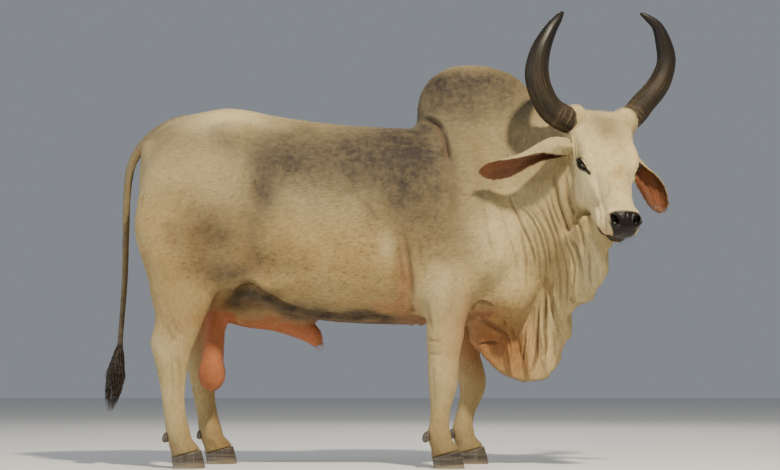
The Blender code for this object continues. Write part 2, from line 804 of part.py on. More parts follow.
EAR_FACES = {  # where the cup faces at the root and from the middle on
    1: (Vector((0.05, -0.15, -0.98)), Vector((0.0, -0.76, -0.64))),
    -1: (Vector((-0.30, -0.90, -0.30)), Vector((-0.12, -0.97, -0.20))),
}


def ear(side):
    """A long hanging ear: a thin leaf curled into a cup, from root to tip."""
    rows = fill_rows(EAR_ROWS[side], 2)
    root_face, open_face = EAR_FACES[side]
    centres = [Vector(row[:3]) for row in rows]
    rings = []
    for i, (*_, radius, curl) in enumerate(rows):
        s = i / (len(rows) - 1)
        along = (centres[min(i + 1, len(rows) - 1)] - centres[max(i - 1, 0)]).normalized()
        facing = root_face.lerp(open_face, min(1, 1.7 * s))
        cup = (facing - along * facing.dot(along)).normalized()
        aside = along.cross(cup)
        wall = min(EAR_WALL * (1.5 - 0.7 * s), radius * 0.5)
        bend = math.radians(curl)
        middle = centres[i] + cup * radius * max(0.0, 0.5 + 0.5 * math.cos(bend)) * 0.7
        outer, inner = [], []
        for step in range(7):
            angle = bend * (step / 3 - 1)
            thin = 1 - 0.55 * abs(step / 3 - 1) ** 3
            ray = aside * math.sin(angle) - cup * math.cos(angle)
            outer.append(middle + ray * radius)
            inner.append(middle + ray * (radius - wall * thin))
        rings.append(outer + inner[::-1])
    return skin_rings("ear", rings)


# Tail, with its switch of long hair

TAIL_ROWS = [  # x, y, z, half size
    (-0.800, 0.000, 1.440, 0.040),
    (-0.885, 0.000, 1.450, 0.042),
    (-0.970, 0.000, 1.418, 0.036),
    (-1.034, 0.000, 1.376, 0.029),
    (-1.082, 0.000, 1.320, 0.023),
    (-1.110, 0.000, 1.250, 0.020),
    (-1.122, 0.000, 1.130, 0.018),
    (-1.124, 0.000, 0.960, 0.0165),
    (-1.126, 0.000, 0.780, 0.015),
    (-1.134, 0.000, 0.640, 0.0135),
    (-1.143, 0.000, 0.500, 0.013),
]


def tail():
    rows = [(x, y, z, r, r) for x, y, z, r in TAIL_ROWS]
    return path_loft("tail", rows, 2, Vector((0, 1, 0)), 2.0, TAIL_SIDES)


def lock(root, flow, sweep, length, half_width, thick):
    """A flat lock of hair that bends as it hangs and tapers to its tip."""
    aside = flow.cross(sweep).normalized()
    outward = aside.cross(flow).normalized()
    rings = []
    for i in range(5):
        s = i / 4
        spot = root + flow * (length * s) + outward * (sweep.length * math.sin(math.pi * s * 0.9))
        half = half_width * (0.75 + 0.5 * s - 1.15 * s**3)
        depth = thick * (1 - 0.75 * s)
        rings.append([spot + aside * half, spot + outward * depth, spot - aside * half, spot - outward * depth])
    return skin_rings("lock", rings)


def switch():
    """The black switch: a slim core with flat locks that overlap and taper to the tips."""
    rng = random.Random(7)
    lean = Vector((-0.14, 0, -0.99)).normalized()
    core_rows = []
    for s, half in ((-0.02, 0.0125), (0.1, 0.016), (0.35, 0.024), (0.55, 0.017), (0.7, 0.006)):
        core_rows.append((*(SWITCH_TOP + lean * SWITCH_LENGTH * s), half, half))
    core = path_loft("switch", core_rows, 1, Vector((0, 1, 0)), 2.0, 8)
    bundle = bpy.data.collections.new("locks")
    bpy.context.scene.collection.children.link(bundle)
    for i in range(SWITCH_LOCKS):
        tier = i / SWITCH_LOCKS
        angle = i * math.radians(137.5)
        outward = Vector((math.cos(angle), math.sin(angle), 0))
        start = 0.03 + 0.42 * tier
        core_half = 0.012 + 0.010 * math.sin(math.pi * min(1, start * 1.4))
        root = SWITCH_TOP + lean * SWITCH_LENGTH * start + outward * core_half * 0.45
        length = SWITCH_LENGTH * (0.99 - start) * rng.uniform(0.80, 1.0)
        reach = SWITCH_HALF_WIDTH * rng.uniform(0.45, 0.85) * (1 - 0.35 * tier)
        made = lock(root, lean, outward * reach, length, rng.uniform(0.008, 0.011), 0.0032)
        WORKSHOP.objects.unlink(made)
        bundle.objects.link(made)
    grow = core.modifiers.new("locks", "BOOLEAN")
    grow.operation = "UNION"
    grow.solver = "MANIFOLD"
    grow.operand_type = "COLLECTION"
    grow.collection = bundle
    settle(core)
    for made in list(bundle.objects):
        bpy.data.objects.remove(made, do_unlink=True)
    bpy.data.collections.remove(bundle)
    keep_largest(core)
    top = block(SWITCH_TOP + UP * 0.1, (0.08, 0.08, 0.1), grow=GAP)
    boolean(core, top, "DIFFERENCE")
    return core


# Feet

CORONET_TILT = math.atan2(CORONET_FRONT - CORONET_BACK, HOOF_LENGTH)
CORONET_MIDDLE = (CORONET_FRONT + CORONET_BACK) / 2


def coronet_block(foot, below, grow=0.0):
    """The space under, or over, the sloping upper rim of a foot's hooves."""
    turn = Matrix.Rotation(-CORONET_TILT, 3, "Y")
    away = turn @ UP * (-0.5 if below else 0.5)
    return block(foot + UP * CORONET_MIDDLE + away, (0.3, 0.12, 0.5), turn, grow)


def claw(foot, side):
    """One of the two hooves of a foot: side -1 or 1 from the foot's middle."""
    middle = side * (HOOF_WIDTH + HOOF_CLEFT) / 2
    rings = []
    for height, scale, ahead in ((0, 1.0, 0.010), (0.035, 0.97, 0.004), (0.07, 0.93, -0.003), (0.11, 0.88, -0.012)):
        ring = []
        for step in range(14):
            angle = math.tau * step / 14
            c, s = math.cos(angle), math.sin(angle)
            narrow = 1 - 0.30 * max(0, c) ** 2
            ring.append(
                foot
                + Vector((ahead + c * HOOF_LENGTH / 2 * scale, 0, height))
                + Vector((0, middle + s * HOOF_WIDTH / 2 * narrow, 0))
                - Vector((0, side * 0.006 * max(0, c) ** 2, 0))
            )
        rings.append(ring)
    made = skin_rings("claw", rings)
    boolean(made, coronet_block(foot, False, GAP), "DIFFERENCE")
    return made


def dewclaw(foot, height, side):
    """A small claw behind the fetlock."""
    at = foot + Vector((-0.082, side * 0.024, height))
    turn = Matrix.Rotation(math.radians(28), 3, "Y")
    return blob("dewclaw", at, (0.017, 0.013, 0.026), turn, 8, 6)


# Parting the bull


def leg_block(kind, side, grow):
    """Where a leg is parted from the body: the block's sloping top is the cut."""
    x = FEET[f"{kind}_{SIDE_NAMES[side]}"].x
    if kind == "foreleg":
        behind, front = x - 0.21, x + 0.20
        return wedge((behind, front), (side * 0.120, side * 0.45), -0.1, (0.585, 0.625, 0.860, 0.880), grow)
    behind, front = -1.25, -0.56
    return wedge((behind, front), (side * 0.090, side * 0.45), -0.1, (0.950, 0.560, 1.110, 0.700), grow)


def part_body(body):
    """Parts the fused body into its named pieces."""
    pieces = {}
    for kind in ("hindleg", "foreleg"):
        for side in (RIGHT, LEFT):
            name = f"{kind}_{SIDE_NAMES[side]}"
            pieces[name] = part_off(body, name, lambda grow: leg_block(kind, side, grow))
            boolean(pieces[name], coronet_block(FEET[name], True), "DIFFERENCE")
    pieces["scrotum"] = part_off(
        body, "scrotum", lambda grow: block(Vector((-0.76, 0, 0.34)), (0.11, 0.13, 0.30), grow=grow)
    )
    pieces["sheath"] = part_off(
        body, "sheath", lambda grow: block(Vector((-0.43, 0, 0.40)), (0.212, 0.075, 0.192), grow=grow)
    )
    slope = Matrix.Rotation(math.radians(-37), 3, "Y")
    pieces["dewlap"] = part_off(
        body,
        "dewlap",
        lambda grow: block(Vector((0.64, -0.2, 0.79)) - slope @ UP * 0.5, (0.46, 0.60, 0.5), slope, grow),
    )
    heading = Vector((0.86, -0.50, 0.10)).normalized()
    aside = heading.cross(UP).normalized()
    turn = Matrix((heading, aside, heading.cross(aside))).transposed()
    start = Vector((0.625, -0.02, 1.1))
    pieces["neck"] = part_off(
        body, "neck", lambda grow: block(start + heading * 0.6, (0.6, 0.9, 0.9), turn, grow)
    )
    pieces["hump"] = part_off(
        body, "hump", lambda grow: block(Vector((0.46, 0, 1.9375)), (0.41, 0.6, 0.5), grow=grow)
    )
    pieces["torso"] = body
    return pieces


def centre_on_floor():
    """Moves every solid so that the bull's bounding box is centred over the origin."""
    corners = np.array([v.co for item in PARTS.objects for v in item.data.vertices])
    middle = (corners.min(0) + corners.max(0)) / 2
    shift = Matrix.Translation((-middle[0], -middle[1], 0))
    for item in PARTS.objects:
        item.data.transform(shift)


def make_body():
    """Everything but the head: the trunk is fused and softened first, then the finer masses join it."""
    masses = [barrel(), hump(), neck()]
    for side in (RIGHT, LEFT):
        masses += [*shoulder(side), *haunch(side), leg("foreleg", side, True), leg("hindleg", side, True)]
    trunk = fuse("trunk", masses, TRUNK_VOXEL, TRUNK_SOFTENING)
    masses = [trunk, dewlap(), sheath(), *scrotum()]
    for side in (RIGHT, LEFT):
        masses += [hock_point(side), leg("foreleg", side), leg("hindleg", side)]
    return fuse("body", masses, BODY_VOXEL, BODY_SOFTENING, BODY_TRIANGLES)


def build():
    body = make_body()
    head, whole_head = make_head()
    tail_piece = tail()
    boolean(tail_piece, swollen(body), "DIFFERENCE")
    boolean(tail_piece, block(SWITCH_TOP - UP * 0.1, (0.08, 0.08, 0.1)), "DIFFERENCE")
    boolean(body, swollen(whole_head, 2 * GAP), "DIFFERENCE")
    boolean(body, copy_of(whole_head, "creases"), "DIFFERENCE")
    for name, foot in FEET.items():
        for side in (RIGHT, LEFT):
            height = 0.128
            claw_name = f"{name}_dewclaw_{SIDE_NAMES[side]}"
            small = dewclaw(foot, height, side)
            boolean(small, swollen(body), "DIFFERENCE")
            finish(small, claw_name, HOOF)
            finish(claw(foot, side), f"{name}_hoof_{SIDE_NAMES[side]}", HOOF)
    for side, word in ((1, "right"), (-1, "left")):
        finish(eyeball(side), f"eye_{word}", EYE)
        made = horn(side)
        boolean(made, swollen(whole_head), "DIFFERENCE")
        boolean(made, swollen(body), "DIFFERENCE")
        finish(made, f"horn_{word}", HORN)
        made = ear(side)
        boolean(made, swollen(whole_head), "DIFFERENCE")
        boolean(made, swollen(body), "DIFFERENCE")
        finish(made, f"ear_{word}", COAT)
    for name, piece in part_body(body).items():
        finish(piece, name, {"scrotum": BARE_SKIN, "sheath": BARE_SKIN, "hump": GREY_COAT}.get(name, COAT))
    finish(head, "head", COAT)
    finish(tail_piece, "tail", GREY_COAT)
    finish(switch(), "tail_switch", SWITCH_HAIR)
    centre_on_floor()
    bpy.data.collections.remove(WORKSHOP)


build()
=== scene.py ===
"""The finished look of a standing zebu bull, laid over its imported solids.

Metres, +Z up. One skin is drawn over all the flesh, with its folds, lids and lips.
Short coat, fringes, lashes, whiskers and the tail's switch are locks along paths.
Horns, hooves, dewclaws and eyes stay pieces of their own.
"""

import math

import bmesh
import bpy
import numpy as np
from bpy.props import FloatProperty, FloatVectorProperty, IntProperty, PointerProperty
from mathutils import Matrix, Vector
from mathutils.bvhtree import BVHTree


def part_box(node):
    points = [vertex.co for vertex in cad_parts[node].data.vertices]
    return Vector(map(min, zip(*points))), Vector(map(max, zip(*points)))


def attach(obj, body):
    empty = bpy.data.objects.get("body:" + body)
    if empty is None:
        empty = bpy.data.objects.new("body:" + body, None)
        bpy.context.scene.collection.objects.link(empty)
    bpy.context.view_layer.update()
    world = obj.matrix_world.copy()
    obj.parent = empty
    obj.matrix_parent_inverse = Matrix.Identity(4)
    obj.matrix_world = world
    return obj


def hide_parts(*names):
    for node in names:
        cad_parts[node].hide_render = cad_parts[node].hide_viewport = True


bl_info = {
    "name": "Zebu bull",
    "version": (1, 0, 0),
    "blender": (4, 5, 0),
    "location": "3D View > Sidebar > Zebu",
    "description": "Skin, coat, horns, hooves and eyes of a standing zebu bull",
    "category": "Object",
}

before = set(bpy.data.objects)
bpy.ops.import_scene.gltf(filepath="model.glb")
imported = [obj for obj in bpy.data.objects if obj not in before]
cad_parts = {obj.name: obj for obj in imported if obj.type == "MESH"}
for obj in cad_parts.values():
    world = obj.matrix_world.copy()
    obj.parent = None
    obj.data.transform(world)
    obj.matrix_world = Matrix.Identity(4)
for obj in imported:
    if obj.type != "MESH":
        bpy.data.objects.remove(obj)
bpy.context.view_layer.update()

LEGS = ["foreleg_right", "foreleg_left", "hindleg_right", "hindleg_left"]
TRUNK = ["torso", "hump", "neck", "dewlap"]
FLESH = [*TRUNK, "head", "ear_right", "ear_left", *LEGS, "scrotum", "sheath", "tail"]
PART = {name: number for number, name in enumerate(FLESH)}

# The bull's right side faces the camera, and its number is 1 in all that mirrors.
SIDES = {1: "right", -1: "left"}

# What one operator makes for the next ones.
WORK = {}

# The head's own frame: down the face, out of the face, and to the bull's right.
POLL = Vector((0.871, -0.320, 1.465))
HEAD_YAW = math.radians(15)
FACE_SLOPE = math.radians(60)
HEAD_ROLL = math.radians(-1)
EYE_AT = (0.243, -0.074, 0.101)
EYE_RADIUS = 0.0230
EYE_CLEARANCE = 0.0002
CORNEA_RISE = 0.030
NOSTRIL_AT = (0.539, -0.037, 0.037)
UP = Vector((0, 0, 1))

# The camera of the photograph, in the bull's own frame. PIXEL is what a pixel shows of the near side, in
# metres. The near side lies about NEAR_SIDE from the camera. Markings are drawn on the upright plane at
# NEAR_PLANE.
CAMERA_AT = Vector((0, -7.0, 0.35))
CAMERA_AIM = Vector((0, 0, 0.974))
FOCAL_PIXELS = 1651.5
FRAME_WIDTH, FRAME_HEIGHT = 780, 470
PIXEL = 0.0041
NEAR_SIDE = 6.8
NEAR_PLANE = -0.25


def head_axes():
    """Columns: down the face, out of the face, to the bull's right."""
    heading = Vector((math.sin(HEAD_YAW), -math.cos(HEAD_YAW), 0))
    down = heading * math.cos(FACE_SLOPE) - UP * math.sin(FACE_SLOPE)
    out = heading * math.sin(FACE_SLOPE) + UP * math.cos(FACE_SLOPE)
    right = down.cross(out)
    roll = Matrix.Rotation(HEAD_ROLL, 3, out)
    return Matrix((roll @ down, out, roll @ right)).transposed()


HEAD_AXES = head_axes()


def on_head(down, out, aside=0.0):
    """A point of the head in the bull's own frame."""
    return POLL + HEAD_AXES @ Vector((down, out, aside))


def middle_of(node):
    """The middle of a solid's box."""
    low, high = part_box(node)
    return (low + high) / 2


def eye_at(side):
    """The middle of an eye in the head's frame; side is 1 for the right one and -1 for the left one."""
    return np.array((*EYE_AT[:2], side * EYE_AT[2]))


def nostril_at(side):
    """The middle of a nostril in the head's frame."""
    return np.array((*NOSTRIL_AT[:2], side * NOSTRIL_AT[2]))


# The solids are centred on the origin, so the bull's own frame is shifted by this much.
SHIFT = middle_of("eye_right") - on_head(*EYE_AT)
SHIFT.z = 0.0


# Settings that a user would change


def colour_setting(name, description, default):
    return FloatVectorProperty(name=name, description=description, default=default, size=3, subtype="COLOR")


class ZebuSettings(bpy.types.PropertyGroup):
    """Sizes and colours of the bull's finish."""

    skin_grain: FloatProperty(
        name="Skin grain",
        description="Spacing of the skin's points before it is thinned",
        default=0.0034,
        unit="LENGTH",
    )
    skin_triangles: IntProperty(
        name="Skin triangles",
        description="Triangles in the finished skin",
        default=190000,
    )
    fold_depth: FloatProperty(
        name="Fold depth",
        description="Strength of the folds, 1 as modelled",
        default=1.0,
        subtype="FACTOR",
    )
    cream: colour_setting("Cream", "Lightest coat colour", (0.40, 0.305, 0.150))
    # Also the colour of the painted light on the cheeks, the dewlap's front and the throat.
    pale: colour_setting("Pale", "Whitest coat colour", (0.72, 0.60, 0.325))
    # Also the colour of the painted shade under the belly, along its fold and in the thigh's hollow.
    grey: colour_setting("Grey", "Darkest coat colour", (0.040, 0.031, 0.024))
    # The coat's tan; on the lower body and legs also painted warm light reflected from below.
    stain: colour_setting("Stain", "Earth stain on the lower coat", (0.36, 0.225, 0.070))
    bare: colour_setting("Bare skin", "Thinly haired skin", (0.36, 0.112, 0.044))
    # Also the colour of the painted shade in the ears' cups.
    black: colour_setting("Dark skin", "Nose, lips and lids", (0.009, 0.006, 0.005))
    horn_dark: colour_setting("Horn tip", "Darkest horn", (0.012, 0.009, 0.007))
    horn_light: colour_setting("Horn streaks", "Lightest horn", (0.058, 0.040, 0.020))
    coat_density: FloatProperty(
        name="Coat density",
        description="Share of the tufts to grow",
        default=1.0,
        subtype="FACTOR",
    )
    floor: colour_setting("Floor", "Studio floor colour", (0.72, 0.72, 0.70))
    key_power: FloatProperty(
        name="Key light",
        description="Power of the key light",
        default=1060.0,
        unit="POWER",
    )
    fill_power: FloatProperty(
        name="Fill light",
        description="Power of the fill light",
        default=110.0,
        unit="POWER",
    )


def settings():
    return bpy.context.scene.zebu


# Meshes as arrays


def arrays_of(mesh):
    """Points and triangles of a mesh."""
    points = np.empty(len(mesh.vertices) * 3)
    mesh.vertices.foreach_get("co", points)
    mesh.calc_loop_triangles()
    triangles = np.empty(len(mesh.loop_triangles) * 3, int)
    mesh.loop_triangles.foreach_get("vertices", triangles)
    return points.reshape(-1, 3), triangles.reshape(-1, 3)


def solid_arrays(name):
    """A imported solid's points and triangles, with its loose corners merged."""
    points, triangles = arrays_of(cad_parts[name].data)
    points, index = np.unique(np.round(points, 6), axis=0, return_inverse=True)
    triangles = index.reshape(-1)[triangles]
    a, b, c = triangles.T
    return points, triangles[(a != b) & (b != c) & (a != c)]


def stack(pieces):
    """Several pairs of points and triangles as one pair."""
    starts = np.cumsum([0, *(len(points) for points, _ in pieces)])
    faces = [triangles + start for (_, triangles), start in zip(pieces, starts)]
    return np.vstack([points for points, _ in pieces]), np.vstack(faces)


def unit(rows, floor=0.0):
    """Each row at length 1; floor keeps an empty row from dividing by zero."""
    return rows / (np.linalg.norm(rows, axis=1, keepdims=True) + floor)


def point_normals(points, triangles):
    """The outward direction at each point, from the triangles round it by area."""
    a, b, c = (points[triangles[:, i]] for i in range(3))
    flat = np.cross(b - a, c - a)
    normals = np.zeros_like(points)
    for corner in range(3):
        for axis in range(3):
            normals[:, axis] += np.bincount(triangles[:, corner], flat[:, axis], len(points))
    return unit(normals, 1e-12)


def link_new(name, data):
    """A new object in the scene."""
    made = bpy.data.objects.new(name, data)
    bpy.context.scene.collection.objects.link(made)
    return made


def new_object(name, points, faces):
    """A new piece from arrays of points and faces."""
    mesh = bpy.data.meshes.new(name)
    mesh.from_pydata(np.asarray(points).tolist(), [], np.asarray(faces).tolist())
    return link_new(name, mesh)


def store(mesh, name, values):
    """Keeps a number or a place for each point of a mesh."""
    values = np.asarray(values, float)
    kind, field = ("FLOAT", "value") if values.ndim == 1 else ("FLOAT_VECTOR", "vector")
    mesh.attributes.new(name, kind, "POINT").data.foreach_set(field, values.ravel())


def wrap(item, grain):
    """One closed surface round everything in the piece."""
    remesh = item.modifiers.new("wrap", "REMESH")
    remesh.mode = "VOXEL"
    remesh.voxel_size = grain


def soften(item, rounds):
    """Evens out the surface; more rounds spread it further."""
    smooth = item.modifiers.new("soften", "SMOOTH")
    smooth.factor = 0.5
    smooth.iterations = rounds
    return smooth


def thin_out(item, share):
    """Keeps that share of the triangles."""
    thin = item.modifiers.new("thin", "DECIMATE")
    thin.ratio = share
    return thin


def settle(item):
    """Applies the object's modifiers."""
    graph = bpy.context.evaluated_depsgraph_get()
    mesh = bpy.data.meshes.new_from_object(item.evaluated_get(graph))
    old = item.data
    item.modifiers.clear()
    item.data = mesh
    mesh.name = item.name
    bpy.data.meshes.remove(old)


def step(low, high, value):
    """0 below low, 1 above high, smooth between; it runs down where low is above high."""
    t = np.clip((value - low) / (high - low), 0, 1)
    return t * t * (3 - 2 * t)


# Large factors that scatter a cell's place and the seed over many bits.
HASH_FACTORS = (73856093, 19349663, 83492791, 2654435761)


def hash_noise(cells, seed):
    """A number from -1 to 1 for each cell, always the same for the same cell and seed."""
    a, b, c, d = HASH_FACTORS
    mixed = cells[..., 0] * a ^ cells[..., 1] * b ^ cells[..., 2] * c ^ seed * d
    mixed = (mixed ^ (mixed >> 13)) * 1274126177
    return ((mixed ^ (mixed >> 16)) & 0xFFFF) / 32767.5 - 1


def noise(points, size, seed):
    """Smooth noise from -1 to 1 with features of that size."""
    grid = np.asarray(points) / size
    low = np.floor(grid).astype(np.int64)
    t = grid - low
    t = t * t * (3 - 2 * t)
    total = np.zeros(len(grid))
    for corner in range(8):
        offset = np.array([corner & 1, corner >> 1 & 1, corner >> 2 & 1])
        weight = np.prod(np.where(offset == 1, t, 1 - t), axis=1)
        total += weight * hash_noise(low + offset, seed)
    return total


def noise_ways(points, size, seeds):
    """Noise in three directions, one seed for each."""
    return np.stack([noise(points, size, seed) for seed in seeds], axis=1)


# Places read off the photograph

VIEW_AXIS = (CAMERA_AIM - CAMERA_AT).normalized()
VIEW_UP = Vector((1, 0, 0)).cross(VIEW_AXIS)


def sight(u, v):
    """The direction in which a pixel of the photograph looks."""
    right = (u - FRAME_WIDTH / 2) / FOCAL_PIXELS
    up = (FRAME_HEIGHT / 2 - v) / FOCAL_PIXELS
    return (VIEW_AXIS + Vector((right, 0, 0)) + VIEW_UP * up).normalized()


def side_view(u, v):
    """x and z, in the bull's frame, of a pixel on the upright plane along its near side."""
    ray = sight(u, v)
    spot = CAMERA_AT + ray * ((NEAR_PLANE - CAMERA_AT.y) / ray.y)
    return spot.x, spot.z


def among(parts, *names):
    """True where a part's number is that of one of the named solids."""
    return np.isin(parts, [PART[name] for name in names])


# The swelling closes the thin cuts between the solids, and on the thin ears it lets the wrapped surface
# keep both faces.
CUT_SWELL = 0.00025
EAR_SWELL = 0.0012


class Flesh:
    """The joined solids, to find which one is nearest and where a pixel falls on them."""

    def __init__(self):
        pieces, parts = [], []
        for name in FLESH:
            points, triangles = solid_arrays(name)
            swell = EAR_SWELL if name.startswith("ear") else CUT_SWELL
            pieces.append((points + point_normals(points, triangles) * swell, triangles))
            parts += [PART[name]] * len(triangles)
        self.points, self.faces = stack(pieces)
        self.parts = np.array(parts)
        self.tree = BVHTree.FromPolygons(self.points.tolist(), self.faces.tolist())

    def seen(self, u, v):
        """The point of the near side that a pixel shows, in the solids' frame."""
        spot, *_ = self.tree.ray_cast(CAMERA_AT + SHIFT, sight(u, v))
        if spot is None:
            spot, *_ = self.tree.find_nearest(CAMERA_AT + SHIFT + sight(u, v) * NEAR_SIDE)
        return spot

    def mirrored(self, spot):
        """The point on the far side straight across from a point of the near side."""
        found, *_ = self.tree.ray_cast(Vector((spot.x, SHIFT.y + 1.5, spot.z)), Vector((0, -1, 0)))
        return found or self.tree.find_nearest(Vector((spot.x, 2 * SHIFT.y - spot.y, spot.z)))[0]

    def part_of(self, points, cell=0.006):
        """The number of the solid nearest to each point, found once for each small cell."""
        cells, index = np.unique(np.round(points / cell).astype(np.int64), axis=0, return_inverse=True)
        nearest = [self.parts[self.tree.find_nearest(Vector(spot))[2]] for spot in cells * cell]
        return np.array(nearest)[index.reshape(-1)]


# Sculpting


def path_reach(points, path, reach):
    """For the points within reach of a path: their numbers, distance and share of the way along it."""
    path = np.array([tuple(spot) for spot in path])
    low, high = path.min(0) - reach, path.max(0) + reach
    near = np.flatnonzero(((points > low) & (points < high)).all(axis=1))
    spots = points[near]
    lengths = np.linalg.norm(np.diff(path, axis=0), axis=1)
    start = np.concatenate([[0], np.cumsum(lengths)])
    best = np.full(len(near), 1e9)
    share = np.zeros(len(near))
    for i, length in enumerate(lengths):
        along = (path[i + 1] - path[i]) / max(length, 1e-9)
        t = np.clip((spots - path[i]) @ along, 0, length)
        away = np.linalg.norm(spots - path[i] - t[:, None] * along, axis=1)
        closer = away < best
        best[closer] = away[closer]
        share[closer] = (start[i] + t[closer]) / start[-1]
    return near, best, share


def smooth_path(path, steps=5):
    """More points on a smooth curve through the given ones."""
    rows = np.array([tuple(spot) for spot in path], float)
    if len(rows) < 3:
        return rows
    ends = np.vstack([2 * rows[0] - rows[1], rows, 2 * rows[-1] - rows[-2]])
    filled = []
    for a, b, c, d in zip(ends, ends[1:], ends[2:], ends[3:]):
        for number in range(steps):
            t = number / steps
            curve = (c - a) * t + (2 * a - 5 * b + 4 * c - d) * t**2
            filled.append(b + 0.5 * (curve + (3 * b - a - 3 * c + d) * t**3))
    return np.vstack([filled, rows[-1]])


# Beside each fold the skin rises in a lip: its distance and half width in widths of the fold, and its
# height in depths. A fold counts as fully deep from DEEP_FOLD on, and as narrow up to NARROW_FOLD.
LIP_AWAY, LIP_WIDTH, LIP_HEIGHT = 1.9, 0.9, 0.22
DEEP_FOLD, NARROW_FOLD = 0.010, 0.016

# Folds as drawn on the near side: depth and half width in metres, whether the far side has one too,
# and the line's pixels in the photograph. The ridges stand out in the same way.
FOLDS = [
    (0.018, 0.012, True, [(412, 122), (420, 120), (430, 121), (438, 126),
                          (443, 135), (446, 148), (449, 164)]),
    (0.008, 0.022, True, [(443, 134), (447, 150), (451, 170), (454, 190), (455, 212), (456, 228)]),
    (0.003, 0.018, True, [(480, 118), (480, 150), (481, 185), (484, 215), (489, 245)]),
    (0.004, 0.007, True, [(484, 205), (486, 222), (490, 240), (496, 262)]),
    (0.004, 0.008, True, [(500, 205), (504, 222), (511, 240), (516, 258), (518, 280)]),
    (0.007, 0.006, True, [(508, 188), (512, 202), (517, 214), (523, 228),
                          (529, 241), (534, 256), (536, 275)]),
    (0.006, 0.006, True, [(512, 195), (520, 206), (529, 216), (537, 229),
                          (542, 243), (546, 260), (546, 280), (545, 300)]),
    (0.006, 0.006, True, [(521, 199), (530, 211), (540, 225), (546, 241),
                          (550, 260), (552, 285), (553, 310), (554, 345)]),
    (0.006, 0.006, True, [(531, 197), (541, 211), (549, 227), (555, 243),
                          (558, 262), (560, 285), (561, 315)]),
    (0.007, 0.006, True, [(541, 186), (545, 200), (550, 214), (556, 231),
                          (562, 249), (566, 267), (567, 290), (566, 315)]),
    (0.006, 0.006, True, [(548, 182), (551, 201), (557, 218), (564, 235),
                          (570, 252), (574, 268), (573, 290), (573, 312)]),
    (0.013, 0.009, True, [(556, 162), (555, 180), (557, 198), (562, 214),
                          (568, 229), (575, 246), (580, 262), (583, 282)]),
    (0.008, 0.008, True, [(565, 165), (566, 182), (569, 198), (574, 212),
                          (579, 226), (583, 242), (585, 262)]),
    (0.005, 0.006, True, [(519, 225), (523, 245), (526, 262), (527, 282), (527, 298)]),
    (0.004, 0.006, True, [(531, 226), (536, 245), (539, 262), (540, 280)]),
    (0.016, 0.007, True, [(546, 276), (545, 304), (545, 330), (545, 352), (543, 388)]),
    (0.014, 0.006, True, [(540, 296), (538, 312), (537, 335), (536, 358), (536, 394)]),
    (0.014, 0.006, True, [(528, 322), (525, 338), (523, 356), (522, 390)]),
    (0.004, 0.005, True, [(553, 296), (553, 330), (554, 352), (556, 372)]),
    (0.008, 0.006, True, [(574, 264), (572, 285), (571, 300), (573, 316)]),
    (0.010, 0.007, True, [(471, 314), (474, 306), (480, 302), (488, 304), (496, 308)]),
    (0.008, 0.008, True, [(476, 314), (482, 319), (490, 324), (500, 330),
                          (508, 338), (512, 350), (514, 368)]),
    (0.005, 0.006, True, [(492, 316), (504, 322), (514, 332), (519, 346), (520, 362)]),
    (0.010, 0.006, True, [(476, 345), (484, 343), (492, 342), (500, 344)]),
    (0.006, 0.006, True, [(589, 246), (590, 262), (590, 278), (593, 290)]),
    (0.003, 0.006, True, [(597, 258), (598, 272), (599, 286)]),
    (0.044, 0.020, True, [(217, 314), (225, 302), (235, 292), (248, 288), (262, 293),
                          (280, 303), (305, 311), (335, 315), (365, 317), (398, 318)]),
    (0.009, 0.011, True, [(402, 226), (407, 246), (410, 266), (412, 286), (413, 312), (414, 330)]),
    (0.005, 0.016, True, [(396, 240), (400, 262), (402, 290)]),
    (0.003, 0.007, True, [(418, 232), (420, 250), (421, 272)]),
    (0.010, 0.046, True, [(258, 138), (259, 165), (258, 192), (262, 216)]),
    (0.009, 0.034, True, [(246, 205), (246, 230), (252, 255), (263, 272)]),
    (0.010, 0.050, True, [(190, 203), (198, 224), (209, 242), (218, 256)]),
    (0.006, 0.036, True, [(162, 220), (167, 238), (178, 252)]),
    (0.004, 0.012, True, [(161, 322), (168, 332), (175, 344)]),
    (0.003, 0.010, True, [(170, 318), (176, 328), (182, 338)]),
    (0.004, 0.010, True, [(176, 344), (179, 362), (181, 384), (182, 410)]),
    (0.003, 0.007, True, [(168, 346), (172, 366), (173, 390), (174, 412)]),
    (0.003, 0.008, True, [(432, 362), (433, 384), (434, 410)]),
    (0.003, 0.007, True, [(427, 338), (434, 342), (442, 341)]),
    (0.003, 0.007, True, [(428, 352), (435, 355), (442, 353)]),
    (0.004, 0.020, True, [(452, 262), (455, 282), (452, 304), (448, 324)]),
    (0.004, 0.014, True, [(424, 300), (428, 316), (430, 332)]),
    (0.005, 0.016, True, [(362, 200), (371, 212), (378, 224)]),
    (0.005, 0.030, True, [(430, 252), (440, 262), (452, 268)]),
    (0.004, 0.016, True, [(150, 138), (160, 131), (172, 127)]),
    (0.0035, 0.006, False, [(642, 178), (649, 190), (654, 202), (656, 213)]),
    (0.0020, 0.005, False, [(652, 174), (658, 188), (661, 202)]),
    (0.0030, 0.006, False, [(545, 163), (522, 166), (503, 171), (488, 175)]),
    (0.004, 0.0045, True, [(574, 132), (577, 146), (578, 160), (579, 178), (580, 192), (582, 203)]),
    (0.0022, 0.0060, True, [(594, 176), (597, 186), (600, 197), (602, 208)]),
    (0.0015, 0.0040, True, [(586, 148), (592, 152), (598, 160), (602, 170)]),
    (0.0012, 0.0035, True, [(584, 143), (592, 146), (600, 152)]),
    (0.0018, 0.0060, True, [(606, 178), (608, 190), (607, 202)]),
    (0.0022, 0.0045, False, [(606, 211), (611, 206), (617, 204), (624, 205), (630, 208)]),
    (0.0018, 0.0040, False, [(608, 206), (615, 202), (623, 202), (631, 205)]),
    (0.0015, 0.0040, False, [(612, 209), (618, 207), (624, 208)]),
    (0.0035, 0.0060, True, [(596, 203), (599, 210), (600, 217), (598, 224)]),
    (0.0025, 0.0050, True, [(602, 218), (606, 225), (605, 232)]),
]
